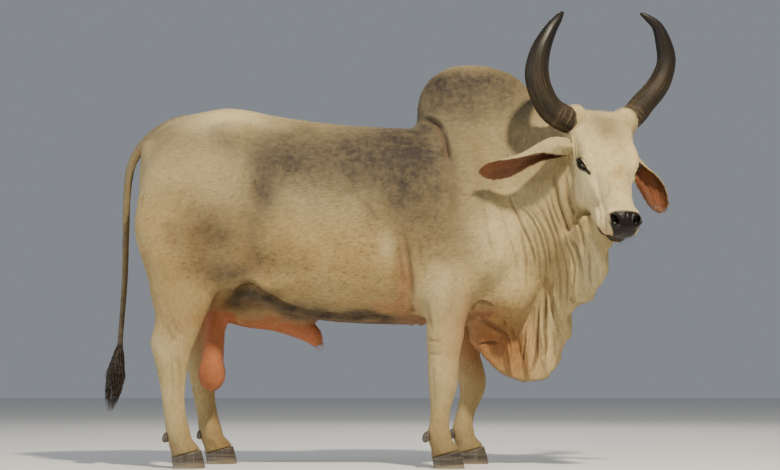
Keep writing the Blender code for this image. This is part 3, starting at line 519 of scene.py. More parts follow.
RIDGES = [
    (0.007, 0.0045, True, [(569, 130), (573, 144), (575, 160), (576, 176), (577, 190), (578, 201)]),
    (0.010, 0.040, True, [(404, 150), (412, 175), (418, 200), (414, 225)]),
    (0.007, 0.050, True, [(236, 116), (240, 135), (243, 160)]),
    (0.0025, 0.008, True, [(595, 207), (596, 214), (597, 222), (599, 228)]),
]


def unbroken(spots, pixels):
    """The runs of a drawn line that don't jump from one form to another behind it."""
    runs = [[spots[0]]]
    for number in range(1, len(spots)):
        reach = math.dist(pixels[number], pixels[number - 1]) * PIXEL
        if abs(spots[number].y - spots[number - 1].y) > 0.035 + 1.2 * reach:
            runs.append([])
        runs[-1].append(spots[number])
    return [run for run in runs if len(run) > 1]


def fold_offsets(points, flesh, strength):
    """How far each point sinks into the folds, and how deep in a fold it is from 0 to 1."""
    offset = np.zeros(len(points))
    inside = np.zeros(len(points))
    for rows, sign in ((FOLDS, -1), (RIDGES, 1)):
        for depth, width, both, pixels in rows:
            runs = unbroken([flesh.seen(u, v) for u, v in pixels], pixels)
            sides = [*runs, *([flesh.mirrored(spot) for spot in run] for run in runs if both)]
            for path in sides:
                found, away, share = path_reach(points, smooth_path(path), width * 3.2)
                ends = step(0, 0.25, share) * step(1, 0.80, share)
                dip = ridge_at(away, width)
                lip = ridge_at(away - LIP_AWAY * width, LIP_WIDTH * width)
                offset[found] += (dip - LIP_HEIGHT * lip) * ends * depth * sign * strength
                if sign < 0:
                    deep = dip * ends * min(1.0, depth / DEEP_FOLD) * min(1.0, NARROW_FOLD / width)
                    inside[found] = np.maximum(inside[found], deep)
    return offset, inside


SOFT_SPREAD = 0.0145
JOIN_REACH = 0.045
COAT_DEPTH = 0.0015

# How much of the softening each solid's flesh gets: 1 is a spread of SOFT_SPREAD.
SOFTNESS = {
    "torso": 1.0,
    "hump": 0.9,
    "neck": 0.75,
    "dewlap": 0.16,
    "head": 0.07,
    "ear_right": 0.012,
    "ear_left": 0.012,
    "scrotum": 0.35,
    "sheath": 0.25,
    "tail": 0.10,
    **{leg: 0.34 for leg in LEGS},
}


def head_place(points):
    """Points of the solids' frame in the head's frame."""
    origin = np.array(POLL + SHIFT)
    return (points - origin) @ np.array(HEAD_AXES)


def bump_at(spots, centre, radii):
    """1 at the centre of a soft oval, falling to 0 outside it."""
    away = ((spots - np.array(centre)) / np.array(radii)) ** 2
    return np.exp(-1.4 * away.sum(axis=1))


def lid_place(spots, side):
    """Head-frame points in the frame of an eye: rear to front corner, towards the brow, outwards."""
    axes = np.array(HEAD_AXES.transposed() @ eye_axes(side))
    return (spots - eye_at(side)) @ axes


# The folds of the lids: 1 for the upper lid and -1 for the lower one, height, distance from the opening
# and width.
LID_FOLDS = [
    (1, 0.0022, 0.0035, 0.0028),
    (-1, 0.0014, 0.0035, 0.0026),
    (1, -0.0034, 0.0110, 0.0030),
    (-1, -0.0020, 0.0100, 0.0028),
    (1, 0.0016, 0.0160, 0.0030),
    (1, -0.0012, 0.0205, 0.0026),
    (-1, -0.0014, 0.0170, 0.0030),
]
# Soft forms on each side of the head: height, centre and radii. They are the brow, the bone below the eye,
# the hollow of the nose's side and the edge of the cheek.
HEAD_FORMS = [
    (0.0045, (EYE_AT[0] - 0.016, EYE_AT[1] + 0.036, EYE_AT[2]), (0.046, 0.014, 0.026)),
    (0.0034, (EYE_AT[0] + 0.072, EYE_AT[1] - 0.012, EYE_AT[2] - 0.001), (0.044, 0.026, 0.028)),
    (-0.0045, (EYE_AT[0] + 0.104, EYE_AT[1] + 0.012, EYE_AT[2] - 0.036), (0.060, 0.020, 0.022)),
    (0.0012, (0.370, -0.086, 0.082), (0.070, 0.014, 0.030)),
]


def ridge_at(value, width):
    """1 where the value is 0, falling to 0 on both sides."""
    return np.exp(-((value / width) ** 2))


def mouth_path():
    """The line between the lips, in the head's frame, from the right corner to the left one."""
    rows = []
    for turn in np.linspace(1, -1, 25):
        bend = abs(turn)
        down = 0.568 - 0.140 * bend**2
        out = -0.113 - 0.016 * bend**1.5 + 0.004 * math.cos(math.tau * turn)
        rows.append((down, out, 0.076 * math.sin(turn * math.pi / 2)))
    return np.array(rows)


def head_offsets(points, parts):
    """Bone, lid, nostril and lip forms of the head."""
    offset = np.zeros(len(points))
    own = np.flatnonzero(parts == PART["head"])
    spots = head_place(points[own])
    down, out, aside = spots.T
    change = np.zeros(len(own))
    for side in SIDES:
        x, y, z = lid_place(spots, side).T
        near = step(0.075, 0.045, np.sqrt(x**2 + y**2 + z**2)) * step(-0.012, 0.004, z)
        opening = 0.0125 * np.sqrt(np.clip(1 - (x / 0.036) ** 2, 0, 1))
        reach = np.sqrt(np.clip(1 - (x / 0.056) ** 2, 0.05, 1)) * step(0.062, 0.044, np.abs(x))
        for lid, height, away, width in LID_FOLDS:
            change += height * ridge_at(lid * y - opening - away, width) * near * reach
        for height, centre, radii in HEAD_FORMS:
            change += height * bump_at(spots, (*centre[:2], side * centre[2]), radii)
        hole = nostril_at(side) + (-0.001, 0.002, side * 0.008)
        away = np.linalg.norm((spots - hole) / (0.0250, 0.0180, 0.0170), axis=1)
        change -= 0.0060 * np.exp(-((away / 0.62) ** 4)) - 0.0026 * ridge_at(away - 1.25, 0.25)
    middle = ridge_at(aside, 0.0035) * step(0.500, 0.530, down) * step(-0.112, -0.095, out)
    change -= 0.0022 * middle
    found, away, _ = path_reach(spots, mouth_path(), 0.03)
    change[found] -= 0.0038 * ridge_at(away, 0.0034) - 0.0016 * ridge_at(away - 0.009, 0.0045)
    change += noise(spots, 0.030, 5) * 0.0011 + noise(spots, 0.014, 6) * 0.0004
    offset[own] = change
    return offset


def refine(skin):
    """Splits the faces round the eyes, nostrils and lips, so that they can carry finer forms."""
    points, _ = arrays_of(skin.data)
    spots = head_place(points)
    fine = np.zeros(len(points), bool)
    for side in SIDES:
        fine |= np.linalg.norm((spots - eye_at(side)) * (0.85, 1.2, 1.0), axis=1) < 0.056
        fine |= np.linalg.norm(spots - nostril_at(side), axis=1) < 0.034
    found, away, _ = path_reach(spots, mouth_path(), 0.014)
    fine[found[away < 0.012]] = True
    shape = bmesh.new()
    shape.from_mesh(skin.data)
    shape.verts.ensure_lookup_table()
    edges = [edge for edge in shape.edges if fine[edge.verts[0].index] and fine[edge.verts[1].index]]
    bmesh.ops.subdivide_edges(shape, edges=edges, cuts=1, use_grid_fill=True)
    shape.to_mesh(skin.data)
    shape.free()


def softness_of(points, edges, parts, grain):
    """How much each point is softened: as its solid says, and more where two big solids meet."""
    softness = np.array([SOFTNESS[name] for name in FLESH])[parts]
    spots = head_place(points)
    for side in SIDES:
        away = np.linalg.norm(spots - eye_at(side), axis=1)
        softness *= 1 - 0.85 * np.exp(-((away / 0.045) ** 4))
    softness *= 1 - 0.7 * step(0.44, 0.48, spots[:, 0]) * (parts == PART["head"])
    joined = among(parts, *TRUNK, *LEGS)
    one, other = edges.T
    join = np.zeros(len(points))
    meet = (parts[one] != parts[other]) & joined[one] & joined[other]
    join[one[meet]] = join[other[meet]] = 1
    for _ in range(int(JOIN_REACH / grain)):
        spread_to = join.copy()
        np.maximum.at(spread_to, one, join[other] * 0.95)
        np.maximum.at(spread_to, other, join[one] * 0.95)
        join = spread_to
    softness = np.maximum(softness, 0.85 * step(0.5, 0.8, join) * joined)
    for _ in range(6):
        mean = (softness[one] + softness[other]) / 2
        total = np.bincount(one, mean, len(points)) + np.bincount(other, mean, len(points))
        softness = total / np.bincount(edges.ravel(), minlength=len(points))
    return softness


def sculpt(mesh, flesh, parts):
    """Moves the skin's points into its folds and head forms, and keeps how deep in a fold each one is, for
    the painted shade there.
    """
    points, triangles = arrays_of(mesh)
    normals = point_normals(points, triangles)
    offset, inside = fold_offsets(points, flesh, settings().fold_depth)
    body = among(parts, "torso", "hump", "neck", *LEGS)
    offset += body * (noise(points, 0.11, 2) * 0.0020 + noise(points, 0.050, 3) * 0.0009)
    loose = among(parts, "neck", "dewlap")
    hanging = points * (1, 1, 0.30)
    offset += loose * (noise(hanging, 0.020, 7) * 0.0012 + noise(hanging, 0.010, 8) * 0.0006)
    offset += head_offsets(points, parts)
    offset -= COAT_DEPTH * ~among(parts, "ear_right", "ear_left")
    points = points + normals * offset[:, None]
    mesh.vertices.foreach_set("co", points.ravel())
    store(mesh, "crease_shade", inside)
    mesh.update()
    return points, triangles


def make_skin(flesh):
    """The whole hide in one surface, with its folds, thinned to the wanted number of triangles."""
    own = settings()
    grain = own.skin_grain * 1.0
    skin = new_object("skin", flesh.points, flesh.faces)
    wrap(skin, grain)
    settle(skin)
    refine(skin)
    mesh = skin.data
    points, _ = arrays_of(mesh)
    edges = np.empty(len(mesh.edges) * 2, int)
    mesh.edges.foreach_get("vertices", edges)
    parts = flesh.part_of(points)
    levels = np.round(softness_of(points, edges.reshape(-1, 2), parts, grain), 2)
    group = skin.vertex_groups.new(name="soft")
    for level in np.unique(levels):
        group.add(np.flatnonzero(levels == level).tolist(), float(level), "REPLACE")
    soften(skin, int(SOFT_SPREAD**2 / (0.125 * grain**2))).vertex_group = "soft"
    settle(skin)
    points, triangles = sculpt(skin.data, flesh, parts)
    spots = head_place(points)
    keep = (parts == PART["head"]) & (spots[:, 0] > 0.49)
    for side in SIDES:
        keep |= np.linalg.norm(spots - eye_at(side), axis=1) < 0.060
    skin.vertex_groups.new(name="thin").add(np.flatnonzero(~keep).tolist(), 1.0, "REPLACE")
    thin_out(skin, own.skin_triangles / len(triangles)).vertex_group = "thin"
    settle(skin)
    skin.vertex_groups.clear()
    skin.data.shade_smooth()
    return skin


# Markings: each is where the side view shows it (pixels), its half width and half height in pixels, and
# strength.
# Mostly the coat's own grey; some, as in the thigh's hollow, are painted shade.
GREY_PATCHES = [
    (470, 74, 60, 15, 0.92),
    (440, 84, 22, 20, 0.55),
    (466, 90, 66, 32, 0.80),
    (212, 238, 32, 40, 0.56),
    (270, 262, 30, 20, 0.30),
    (228, 272, 34, 13, 0.75),
    (262, 204, 12, 30, 0.30),
    (452, 112, 42, 24, 0.30),
    (410, 150, 38, 40, 1.00),
    (378, 160, 62, 40, 0.74),
    (330, 154, 92, 36, 0.70),
    (288, 160, 34, 32, 0.66),
    (262, 188, 16, 40, 0.62),
    (432, 205, 42, 54, 0.52),
    (452, 242, 34, 30, 0.34),
    (400, 205, 30, 34, 0.46),
    (225, 142, 54, 22, 0.30),
    (205, 235, 30, 30, 0.34),
    (160, 130, 40, 24, 0.45),
    (520, 92, 28, 22, 0.36),
    (448, 120, 34, 20, 0.18),
    (180, 182, 30, 26, 0.22),
    (340, 190, 74, 38, 0.30),
    (505, 150, 44, 44, 0.28),
    (375, 148, 36, 18, 0.40),
]
# Mostly the coat's whiter hair; those on the dewlap's front and the throat are painted light.
PALE_PATCHES = [
    (232, 114, 40, 12, 0.85),
    (190, 122, 26, 10, 0.30),
    (345, 205, 26, 20, 0.25),
    (298, 195, 22, 18, 0.30),
    (440, 288, 24, 26, 0.50),
    (505, 232, 32, 34, 0.45),
    (445, 360, 24, 50, 0.40),
    (172, 400, 24, 50, 0.40),
    (160, 345, 20, 16, 0.45),
    (440, 116, 24, 12, 0.30),
    (386, 250, 8, 14, 0.50),
    (195, 180, 60, 40, 0.22),
    (555, 340, 20, 40, 0.62),
    (592, 274, 16, 28, 0.60),
    (510, 272, 30, 26, 0.45),
    (498, 240, 22, 22, 0.35),
]
BARE_PATCHES = [
    (492, 342, 36, 26, 0.66),
    (526, 352, 20, 32, 0.30),
    (268, 322, 58, 7, 0.90),
    (478, 318, 22, 16, 0.30),
    (404, 290, 7, 24, 0.55),
    (390, 306, 26, 8, 0.45),
]
# Painted shade: grey along the fold between belly and sheath, where the bare skin's colour is taken away
BELLY_CREASE_SHADE = [
    (232, 300, 12, 10, 0.90),
    (248, 294, 16, 9, 0.97),
    (266, 299, 16, 9, 0.97),
    (288, 308, 20, 8, 0.97),
    (318, 314, 26, 7, 0.97),
    (354, 317, 30, 6, 0.96),
    (388, 318, 22, 6, 0.92),
]
# The coat's tan, and on the lower body painted warm light reflected from below.
TAN_AND_BOUNCE_LIGHT_PATCHES = [
    (515, 345, 44, 42, 0.92),
    (205, 245, 44, 50, 0.75),
    (176, 300, 30, 60, 0.62),
    (300, 262, 110, 52, 0.74),
    (155, 220, 42, 60, 0.62),
    (232, 262, 40, 24, 0.45),
    (505, 285, 70, 50, 0.42),
    (560, 270, 36, 60, 0.35),
    (440, 330, 40, 60, 0.30),
    (380, 270, 50, 40, 0.40),
]


def oval(points, u, v, half_width, half_height):
    """1 at the middle of an oval drawn on the side view in pixels, falling to 0 outside it."""
    middle_x, middle_z = side_view(u, v)
    along = (points[:, 0] - SHIFT.x - middle_x) / (half_width * PIXEL)
    up = (points[:, 2] - middle_z) / (half_height * PIXEL)
    return np.exp(-0.9 * (along**2 + up**2))


def patches(points, rows):
    """The strength of all the patches together at each point, never above 1."""
    strength = np.zeros(len(points))
    for *place, most in rows:
        strength = 1 - (1 - strength) * (1 - most * oval(points, *place))
    return strength


# Fine wrinkles in the side view: the middle, half width and half height of the wrinkled skin, strength,
# spacing, and either the centre that the wrinkles curve round, or the slope of straight ones in degrees.
# Their troughs are bumped and also painted darker, as painted shade.
WRINKLES = [
    (522, 312, 26, 22, 0.9, 2.2, (490, 332)),
    (496, 358, 22, 16, 0.9, 2.4, (474, 388)),
    (486, 284, 22, 16, 0.6, 2.6, (560, 210)),
    (562, 330, 14, 34, 0.6, 2.4, 0),
    (584, 288, 14, 16, 0.8, 2.2, 0),
    (530, 245, 34, 46, 0.8, 2.6, 72),
    (566, 235, 18, 60, 0.8, 2.4, 76),
    (480, 215, 30, 60, 0.5, 3.2, 84),
    (425, 170, 30, 24, 0.35, 2.8, 8),
    (408, 265, 16, 36, 0.6, 2.4, 84),
    (345, 205, 60, 34, 0.22, 3.0, 20),
    (262, 250, 26, 34, 0.40, 3.0, 66),
    (170, 330, 14, 18, 0.7, 2.6, 30),
    (430, 345, 14, 20, 0.5, 2.6, 0),
]


def wrinkles(points):
    """The strength of fine wrinkles at each point, and the count of wrinkles up to it."""
    x, z = points[:, 0] - SHIFT.x, points[:, 2]
    best = np.zeros(len(points))
    second = np.zeros(len(points))
    wave = np.zeros(len(points))
    for *place, most, spacing, pattern in WRINKLES:
        strength = most * oval(points, *place)
        if isinstance(pattern, tuple):
            round_x, round_z = side_view(*pattern)
            count = np.hypot(x - round_x, z - round_z) / (spacing * PIXEL)
        else:
            slope = math.radians(pattern)
            count = (x * math.sin(slope) + z * math.cos(slope)) / (spacing * PIXEL)
        stronger = strength > best
        second = np.where(stronger, best, np.maximum(second, strength))
        wave[stronger] = count[stronger]
        best = np.maximum(best, strength)
    return np.clip(best - 0.8 * second, 0, 1), wave


# The dark skin round an eye, along the eye from its rear corner: its upper and its lower edge.
LID_REACH = (-0.056, -0.045, -0.025, 0.0, 0.012, 0.030, 0.046, 0.058)
LID_UPPER = (-0.002, 0.011, 0.018, 0.016, 0.012, 0.004, -0.004, -0.012)
LID_LOWER = (-0.006, -0.019, -0.022, -0.020, -0.018, -0.0155, -0.0135, -0.012)
# Half the width of the muzzle's dark pad at depths below the face
PAD_BELOW = (0.0, 0.030, 0.050, 0.070, 0.100, 0.125)
PAD_WIDTHS = (0.060, 0.068, 0.062, 0.048, 0.040, 0.036)

EAR_ROWS = {  # centre x, y, z, radius of the curl, and half the angle that it covers in degrees
    1: [
        (0.722, -0.335, 1.304, 0.038, 158),
        (0.664, -0.366, 1.297, 0.046, 155),
        (0.607, -0.372, 1.279, 0.038, 125),
        (0.550, -0.372, 1.251, 0.034, 104),
        (0.493, -0.367, 1.223, 0.045, 76),
        (0.445, -0.360, 1.209, 0.054, 61),
        (0.405, -0.354, 1.201, 0.054, 50),
        (0.381, -0.351, 1.201, 0.040, 42),
        (0.365, -0.350, 1.203, 0.012, 40),
    ],
    -1: [
        (0.966, -0.240, 1.304, 0.026, 155),
        (1.005, -0.250, 1.250, 0.030, 130),
        (1.034, -0.255, 1.205, 0.038, 102),
        (1.064, -0.258, 1.164, 0.050, 76),
        (1.087, -0.262, 1.123, 0.054, 64),
        (1.102, -0.265, 1.085, 0.050, 54),
        (1.106, -0.268, 1.062, 0.044, 45),
        (1.106, -0.269, 1.046, 0.014, 40),
    ],
}
EAR_FACES = {  # where the cup faces at the root and from the middle on
    1: (Vector((0.05, -0.15, -0.98)), Vector((0.0, -0.76, -0.64))),
    -1: (Vector((-0.30, -0.90, -0.30)), Vector((-0.12, -0.97, -0.20))),
}


def ear_curl(side):
    """An ear's curl from root to tip: points of its axis, where the cup faces, and the way along it."""
    rows = smooth_path(EAR_ROWS[side], 4)
    root_face, open_face = (np.array(face) for face in EAR_FACES[side])
    share = np.linspace(0, 1, len(rows))[:, None]
    facing = root_face + (open_face - root_face) * np.minimum(1, 1.7 * share)
    along = unit(np.gradient(rows[:, :3], axis=0))
    cup = unit(facing - along * (facing * along).sum(axis=1)[:, None])
    bend = np.radians(rows[:, 4:5])
    axis = rows[:, :3] + cup * rows[:, 3:4] * np.maximum(0, 0.5 + 0.5 * np.cos(bend)) * 0.7
    return axis + np.array(SHIFT), cup, along


def inside_ear(points, normals, side):
    """For points of an ear: 1 on the inner face and 0 on the outer, the share of the way to the tip,
    and how far aside of the ear's middle line."""
    axis, facing, way = ear_curl(side)
    nearest = np.linalg.norm(points[:, None] - axis[None], axis=2).argmin(axis=1)
    inward = unit(axis[nearest] - points, 1e-9)
    across = ((points - axis[nearest]) * np.cross(facing, way)[nearest]).sum(axis=1)
    return step(-0.25, 0.35, (inward * normals).sum(axis=1)), nearest / (len(axis) - 1), across


def paint_body(strengths, points, normals, is_part, crease_shade):
    """Bare skin underneath, painted shade under the belly and along the fold before the sheath, and the
    colours of legs, tail and dewlap.
    """
    grey, bare, stain = (strengths[label] for label in ("grey", "bare", "stain"))
    height = points[:, 2]
    hind = is_part["hindleg_right"] | is_part["hindleg_left"]
    legs = hind | is_part["foreleg_right"] | is_part["foreleg_left"]
    under = step(-0.70, -0.95, normals[:, 2]) * step(0.74, 0.66, height)
    inner = np.sign(points[:, 1] - SHIFT.y) * normals[:, 1]
    bare = np.maximum(bare, 0.50 * under * (is_part["torso"] | is_part["sheath"]))
    bare = np.maximum(bare, 0.55 * hind * step(-0.2, -0.8, inner) * step(0.40, 0.60, height))
    bare[is_part["scrotum"] | is_part["sheath"]] = 1.0
    # Painted shade along the fold before the sheath takes the bare skin's colour away there.
    crease_shade = crease_shade * (is_part["torso"] | hind)
    bare *= 1 - 0.9 * crease_shade
    low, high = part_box("scrotum")
    root = (*((low + high) / 2)[:2], high[2] - 0.02)
    bare = np.maximum(bare, 0.95 * bump_at(points, root, (0.11, 0.10, 0.13)) * (1 - crease_shade))
    bare = np.maximum(bare, 0.18 * is_part["dewlap"] * step(0.70, 0.45, height))
    # Painted shade: grey on the belly's underside and along its fold before the sheath.
    grey = np.maximum(grey, 0.62 * under * is_part["torso"])
    grey = np.maximum(grey, crease_shade)
    grey[legs] = np.maximum(grey, 0.16 + 0.18 * step(0.30, 0.05, height))[legs]
    grey[is_part["tail"]] = 0.62 + 0.35 * step(0.85, 0.45, height)[is_part["tail"]]
    # The legs' yellow tan, partly painted warm light reflected from below.
    stain[hind] = np.maximum(stain, 0.68)[hind]
    stain[legs] = np.maximum(stain, 0.48)[legs]
    strengths.update(grey=grey, bare=bare, stain=stain)


def paint_head(strengths, points, head):
    """The dark pad, lids, lips and freckles, the colours of crown and nose bridge, and painted light on the
    cheeks.
    """
    labels = ("pale", "grey", "bare", "stain", "black")
    pale, grey, bare, stain, black = (strengths[label] for label in labels)
    spots = head_place(points)
    down, out, aside = spots.T
    wobble = noise(points, 0.02, 15) * 0.004 + noise(points, 0.006, 16) * 0.0015
    top = 0.505 + 0.35 * np.maximum(0, np.abs(aside) - 0.045)
    flank = np.abs(aside) - np.interp(-out, PAD_BELOW, PAD_WIDTHS)
    pad = step(-0.005, 0.004, down - top + wobble) * step(0.006, -0.005, flank + wobble)
    pad *= step(-0.118, -0.108, out) * head
    black = np.maximum(black, pad)
    for side in SIDES:
        x, y, z = lid_place(spots, side).T
        upper, lower = np.interp(x, LID_REACH, LID_UPPER), np.interp(x, LID_REACH, LID_LOWER)
        rim = step(-0.0075, 0.0035, np.minimum(upper - y, y - lower) + wobble)
        rim *= (np.abs(x) < 0.058) * step(-0.016, -0.006, z)
        near = np.linalg.norm(spots - eye_at(side), axis=1) < 0.08
        black = np.maximum(black, rim * head * near)
    found, away, share = path_reach(spots, mouth_path(), 0.06)
    front = step(0.16, 0.28, share) * step(0.84, 0.72, share)
    chin = front * step(0.040, 0.030, away) * (out[found] < -0.110)
    lips = np.maximum(step(0.0075, 0.004, away), chin)
    black[found] = np.maximum(black[found], 0.95 * lips * head[found])
    freckles = (noise(points, 0.0075, 22) > 0.80) & head & (down > 0.16) & (down < 0.47) & (out > -0.09)
    black = np.maximum(black, 0.38 * freckles)
    bare = np.maximum(bare, 0.42 * step(0.50, 0.55, down) * step(-0.060, -0.085, out) * head)
    crown = bump_at(spots, (0.09, 0.02, 0.0), (0.10, 0.10, 0.09))
    grey[head] = np.maximum(grey, 0.52 * crown)[head]
    grey[head] += 0.10 * step(0.1, 0.6, noise(points, 0.035, 17))[head] * step(0.30, 0.15, down[head])
    bridge = bump_at(spots, (0.30, 0.0, 0.0), (0.16, 0.06, 0.05)) * step(-0.2, 0.5, noise(points, 0.03, 18))
    stain[head] = np.maximum(stain, 0.75 * bridge)[head]
    # Painted light: the cheeks are made paler, as if lit.
    cheek = sum(bump_at(spots, (0.30, -0.085, side * 0.10), (0.10, 0.07, 0.06)) for side in SIDES)
    ring = step(0.40, 0.46, down) * (1 - pad)
    lighter = 0.6 * cheek + 0.08 * ring - 0.35 * crown - 0.45 * bridge
    pale[head] = np.clip(pale + lighter, 0, 1)[head]
    strengths.update(pale=pale, grey=grey, bare=bare, stain=stain, black=black)


def paint_ear(strengths, points, normals, own, side):
    """An ear's bare cup with painted shade in its depth, and its pale back; own holds the numbers of its
    points.
    """
    cup, along, across = inside_ear(points[own], normals[own], side)
    if side > 0:
        most, shade = 0.90, 0.66 - 0.30 * along
    else:
        edge = np.clip(np.abs(across) / 0.045, 0, 1)
        most, shade = 1.0, np.maximum(0.88 * step(0.46, 0.12, along), 0.42 + 0.45 * edge**2)
        shade += 0.20 * step(0.6, 1.0, along)
    strengths["bare"][own] = np.maximum(strengths["bare"][own], most * cup)
    # Black in the cup is painted shade, most at the root and, on the right ear whose cup faces down, over
    # all of it.
    strengths["black"][own] = cup * np.clip(shade, 0, 0.85)
    strengths["pale"][own] = 0.55 * (1 - cup) * step(1.0, 0.5, along)
    strengths["grey"][own] = 0.25 * (1 - cup)


def paint_hide(points, normals, parts):
    """The strengths of the hide's colours at points of its surface."""
    ragged = points + 0.018 * noise_ways(points, 0.07, (11, 12, 13))
    tables = {"pale": PALE_PATCHES, "grey": GREY_PATCHES, "bare": BARE_PATCHES, "stain": TAN_AND_BOUNCE_LIGHT_PATCHES}
    strengths = {label: patches(ragged, rows) for label, rows in tables.items()}
    strengths["black"] = np.zeros(len(points))
    is_part = {name: parts == number for name, number in PART.items()}
    head = is_part["head"]
    ears = is_part["ear_right"] | is_part["ear_left"]
    strengths["grey"][head] *= 0.1
    strengths["bare"][head | ears] = 0
    strengths["pale"][head] = 0.50
    strengths["stain"][head | ears] *= 0.3
    paint_body(strengths, points, normals, is_part, patches(ragged, BELLY_CREASE_SHADE))
    paint_head(strengths, points, head)
    for side, word in SIDES.items():
        paint_ear(strengths, points, normals, np.flatnonzero(is_part[f"ear_{word}"]), side)
    rump = step(-0.3, -0.6, points[:, 0]) * (is_part["torso"] | is_part["sheath"])
    specks = (noise(points, 0.012, 21) > 0.93) * rump
    strengths["black"] = np.maximum(strengths["black"], 0.5 * specks)
    return {label: np.clip(values, 0, 1) for label, values in strengths.items()}


def paint(skin, flesh):
    """Stores the colour strengths on the skin's points."""
    points, triangles = arrays_of(skin.data)
    parts = flesh.part_of(points)
    strengths = paint_hide(points, point_normals(points, triangles), parts)
    strengths["wrinkle"], strengths["wave"] = wrinkles(points)
    strengths["wrinkle"][parts == PART["head"]] = 0
    strengths["upright"] = 1.0 - among(parts, "torso", "hump")
    for name, values in strengths.items():
        store(skin.data, name, values)


# Materials


def feed(tree, socket, value):
    """Links a socket to an input, or sets the input to a value."""
    if isinstance(value, bpy.types.NodeSocket):
        tree.links.new(value, socket)
    else:
        socket.default_value = value


def put(tree, kind, inputs=None, **own):
    """A node with its settings, and its inputs linked or set."""
    node = tree.nodes.new(kind)
    for key, value in own.items():
        setattr(node, key, value)
    for key, value in (inputs or {}).items():
        feed(tree, node.inputs[key], value)
    return node


def math_node(tree, operation, a, b=0.0):
    return put(tree, "ShaderNodeMath", {0: a, 1: b}, operation=operation).outputs[0]


def plus(tree, a, b):
    return math_node(tree, "ADD", a, b)


def minus(tree, a, b):
    return math_node(tree, "SUBTRACT", a, b)


def times(tree, a, b):
    return math_node(tree, "MULTIPLY", a, b)


def ramp(tree, value, low, high, start=0.0, end=1.0):
    """value from low..high to start..end, smooth and held at the ends."""
    sizes = {"Value": value, "From Min": low, "From Max": high, "To Min": start, "To Max": end}
    return put(tree, "ShaderNodeMapRange", sizes, interpolation_type="SMOOTHSTEP").outputs[0]


def mix(tree, share, first, second, blend="MIX"):
    inputs = {0: share, 6: first, 7: second}
    return put(tree, "ShaderNodeMix", inputs, data_type="RGBA", blend_type=blend).outputs[2]


def mix_number(tree, share, first, second):
    return put(tree, "ShaderNodeMix", {0: share, 2: first, 3: second}, data_type="FLOAT").outputs[0]


def object_place(tree):
    return put(tree, "ShaderNodeTexCoord").outputs["Object"]


def own_value(tree, name, output="Fac"):
    """What the piece has stored under that name."""
    return put(tree, "ShaderNodeAttribute", attribute_name=name).outputs[output]


def scaled(tree, place, scale):
    """A place stretched or squeezed along its axes, for noise with a grain."""
    return put(tree, "ShaderNodeMapping", {"Vector": place, "Scale": scale}).outputs[0]


def noise_node(tree, place, scale, detail=3.0, roughness=0.5):
    sizes = {"Vector": place, "Scale": scale, "Detail": detail, "Roughness": roughness}
    return put(tree, "ShaderNodeTexNoise", sizes).outputs["Fac"]


def shader_group(name, inputs, outputs):
    """An empty shader group with named sockets: name to (type, default)."""
    tree = bpy.data.node_groups.new(name, "ShaderNodeTree")
    for label, (kind, value) in inputs.items():
        socket = tree.interface.new_socket(label, in_out="INPUT", socket_type=kind)
        if value is not None:
            socket.default_value = value
    for label, kind in outputs.items():
        tree.interface.new_socket(label, in_out="OUTPUT", socket_type=kind)
    return tree, tree.nodes.new("NodeGroupInput").outputs, tree.nodes.new("NodeGroupOutput").inputs


def new_material(name, roughness=0.5):
    """A new material, its nodes and its shader."""
    made = bpy.data.materials.new(name)
    made.use_nodes = True
    shader = made.node_tree.nodes["Principled BSDF"]
    shader.inputs["Roughness"].default_value = roughness
    return made, made.node_tree, shader


def add_relief(tree, shader, height, strength, distance):
    """Fine relief from a height, as the shader's normal."""
    bump = put(tree, "ShaderNodeBump", {"Height": height, "Strength": strength, "Distance": distance})
    tree.links.new(bump.outputs[0], shader.inputs["Normal"])


def rgba(colour):
    return (*colour, 1.0)


STRENGTHS = ("Pale", "Grey", "Bare", "Stain", "Black")
SKIN_ONLY = ("Crease_shade", "Wrinkle", "Wave", "Upright")
# The colour of the painted shade deep in the folds.
CREASE_SHADE_COLOUR = (0.10, 0.06, 0.04, 1)


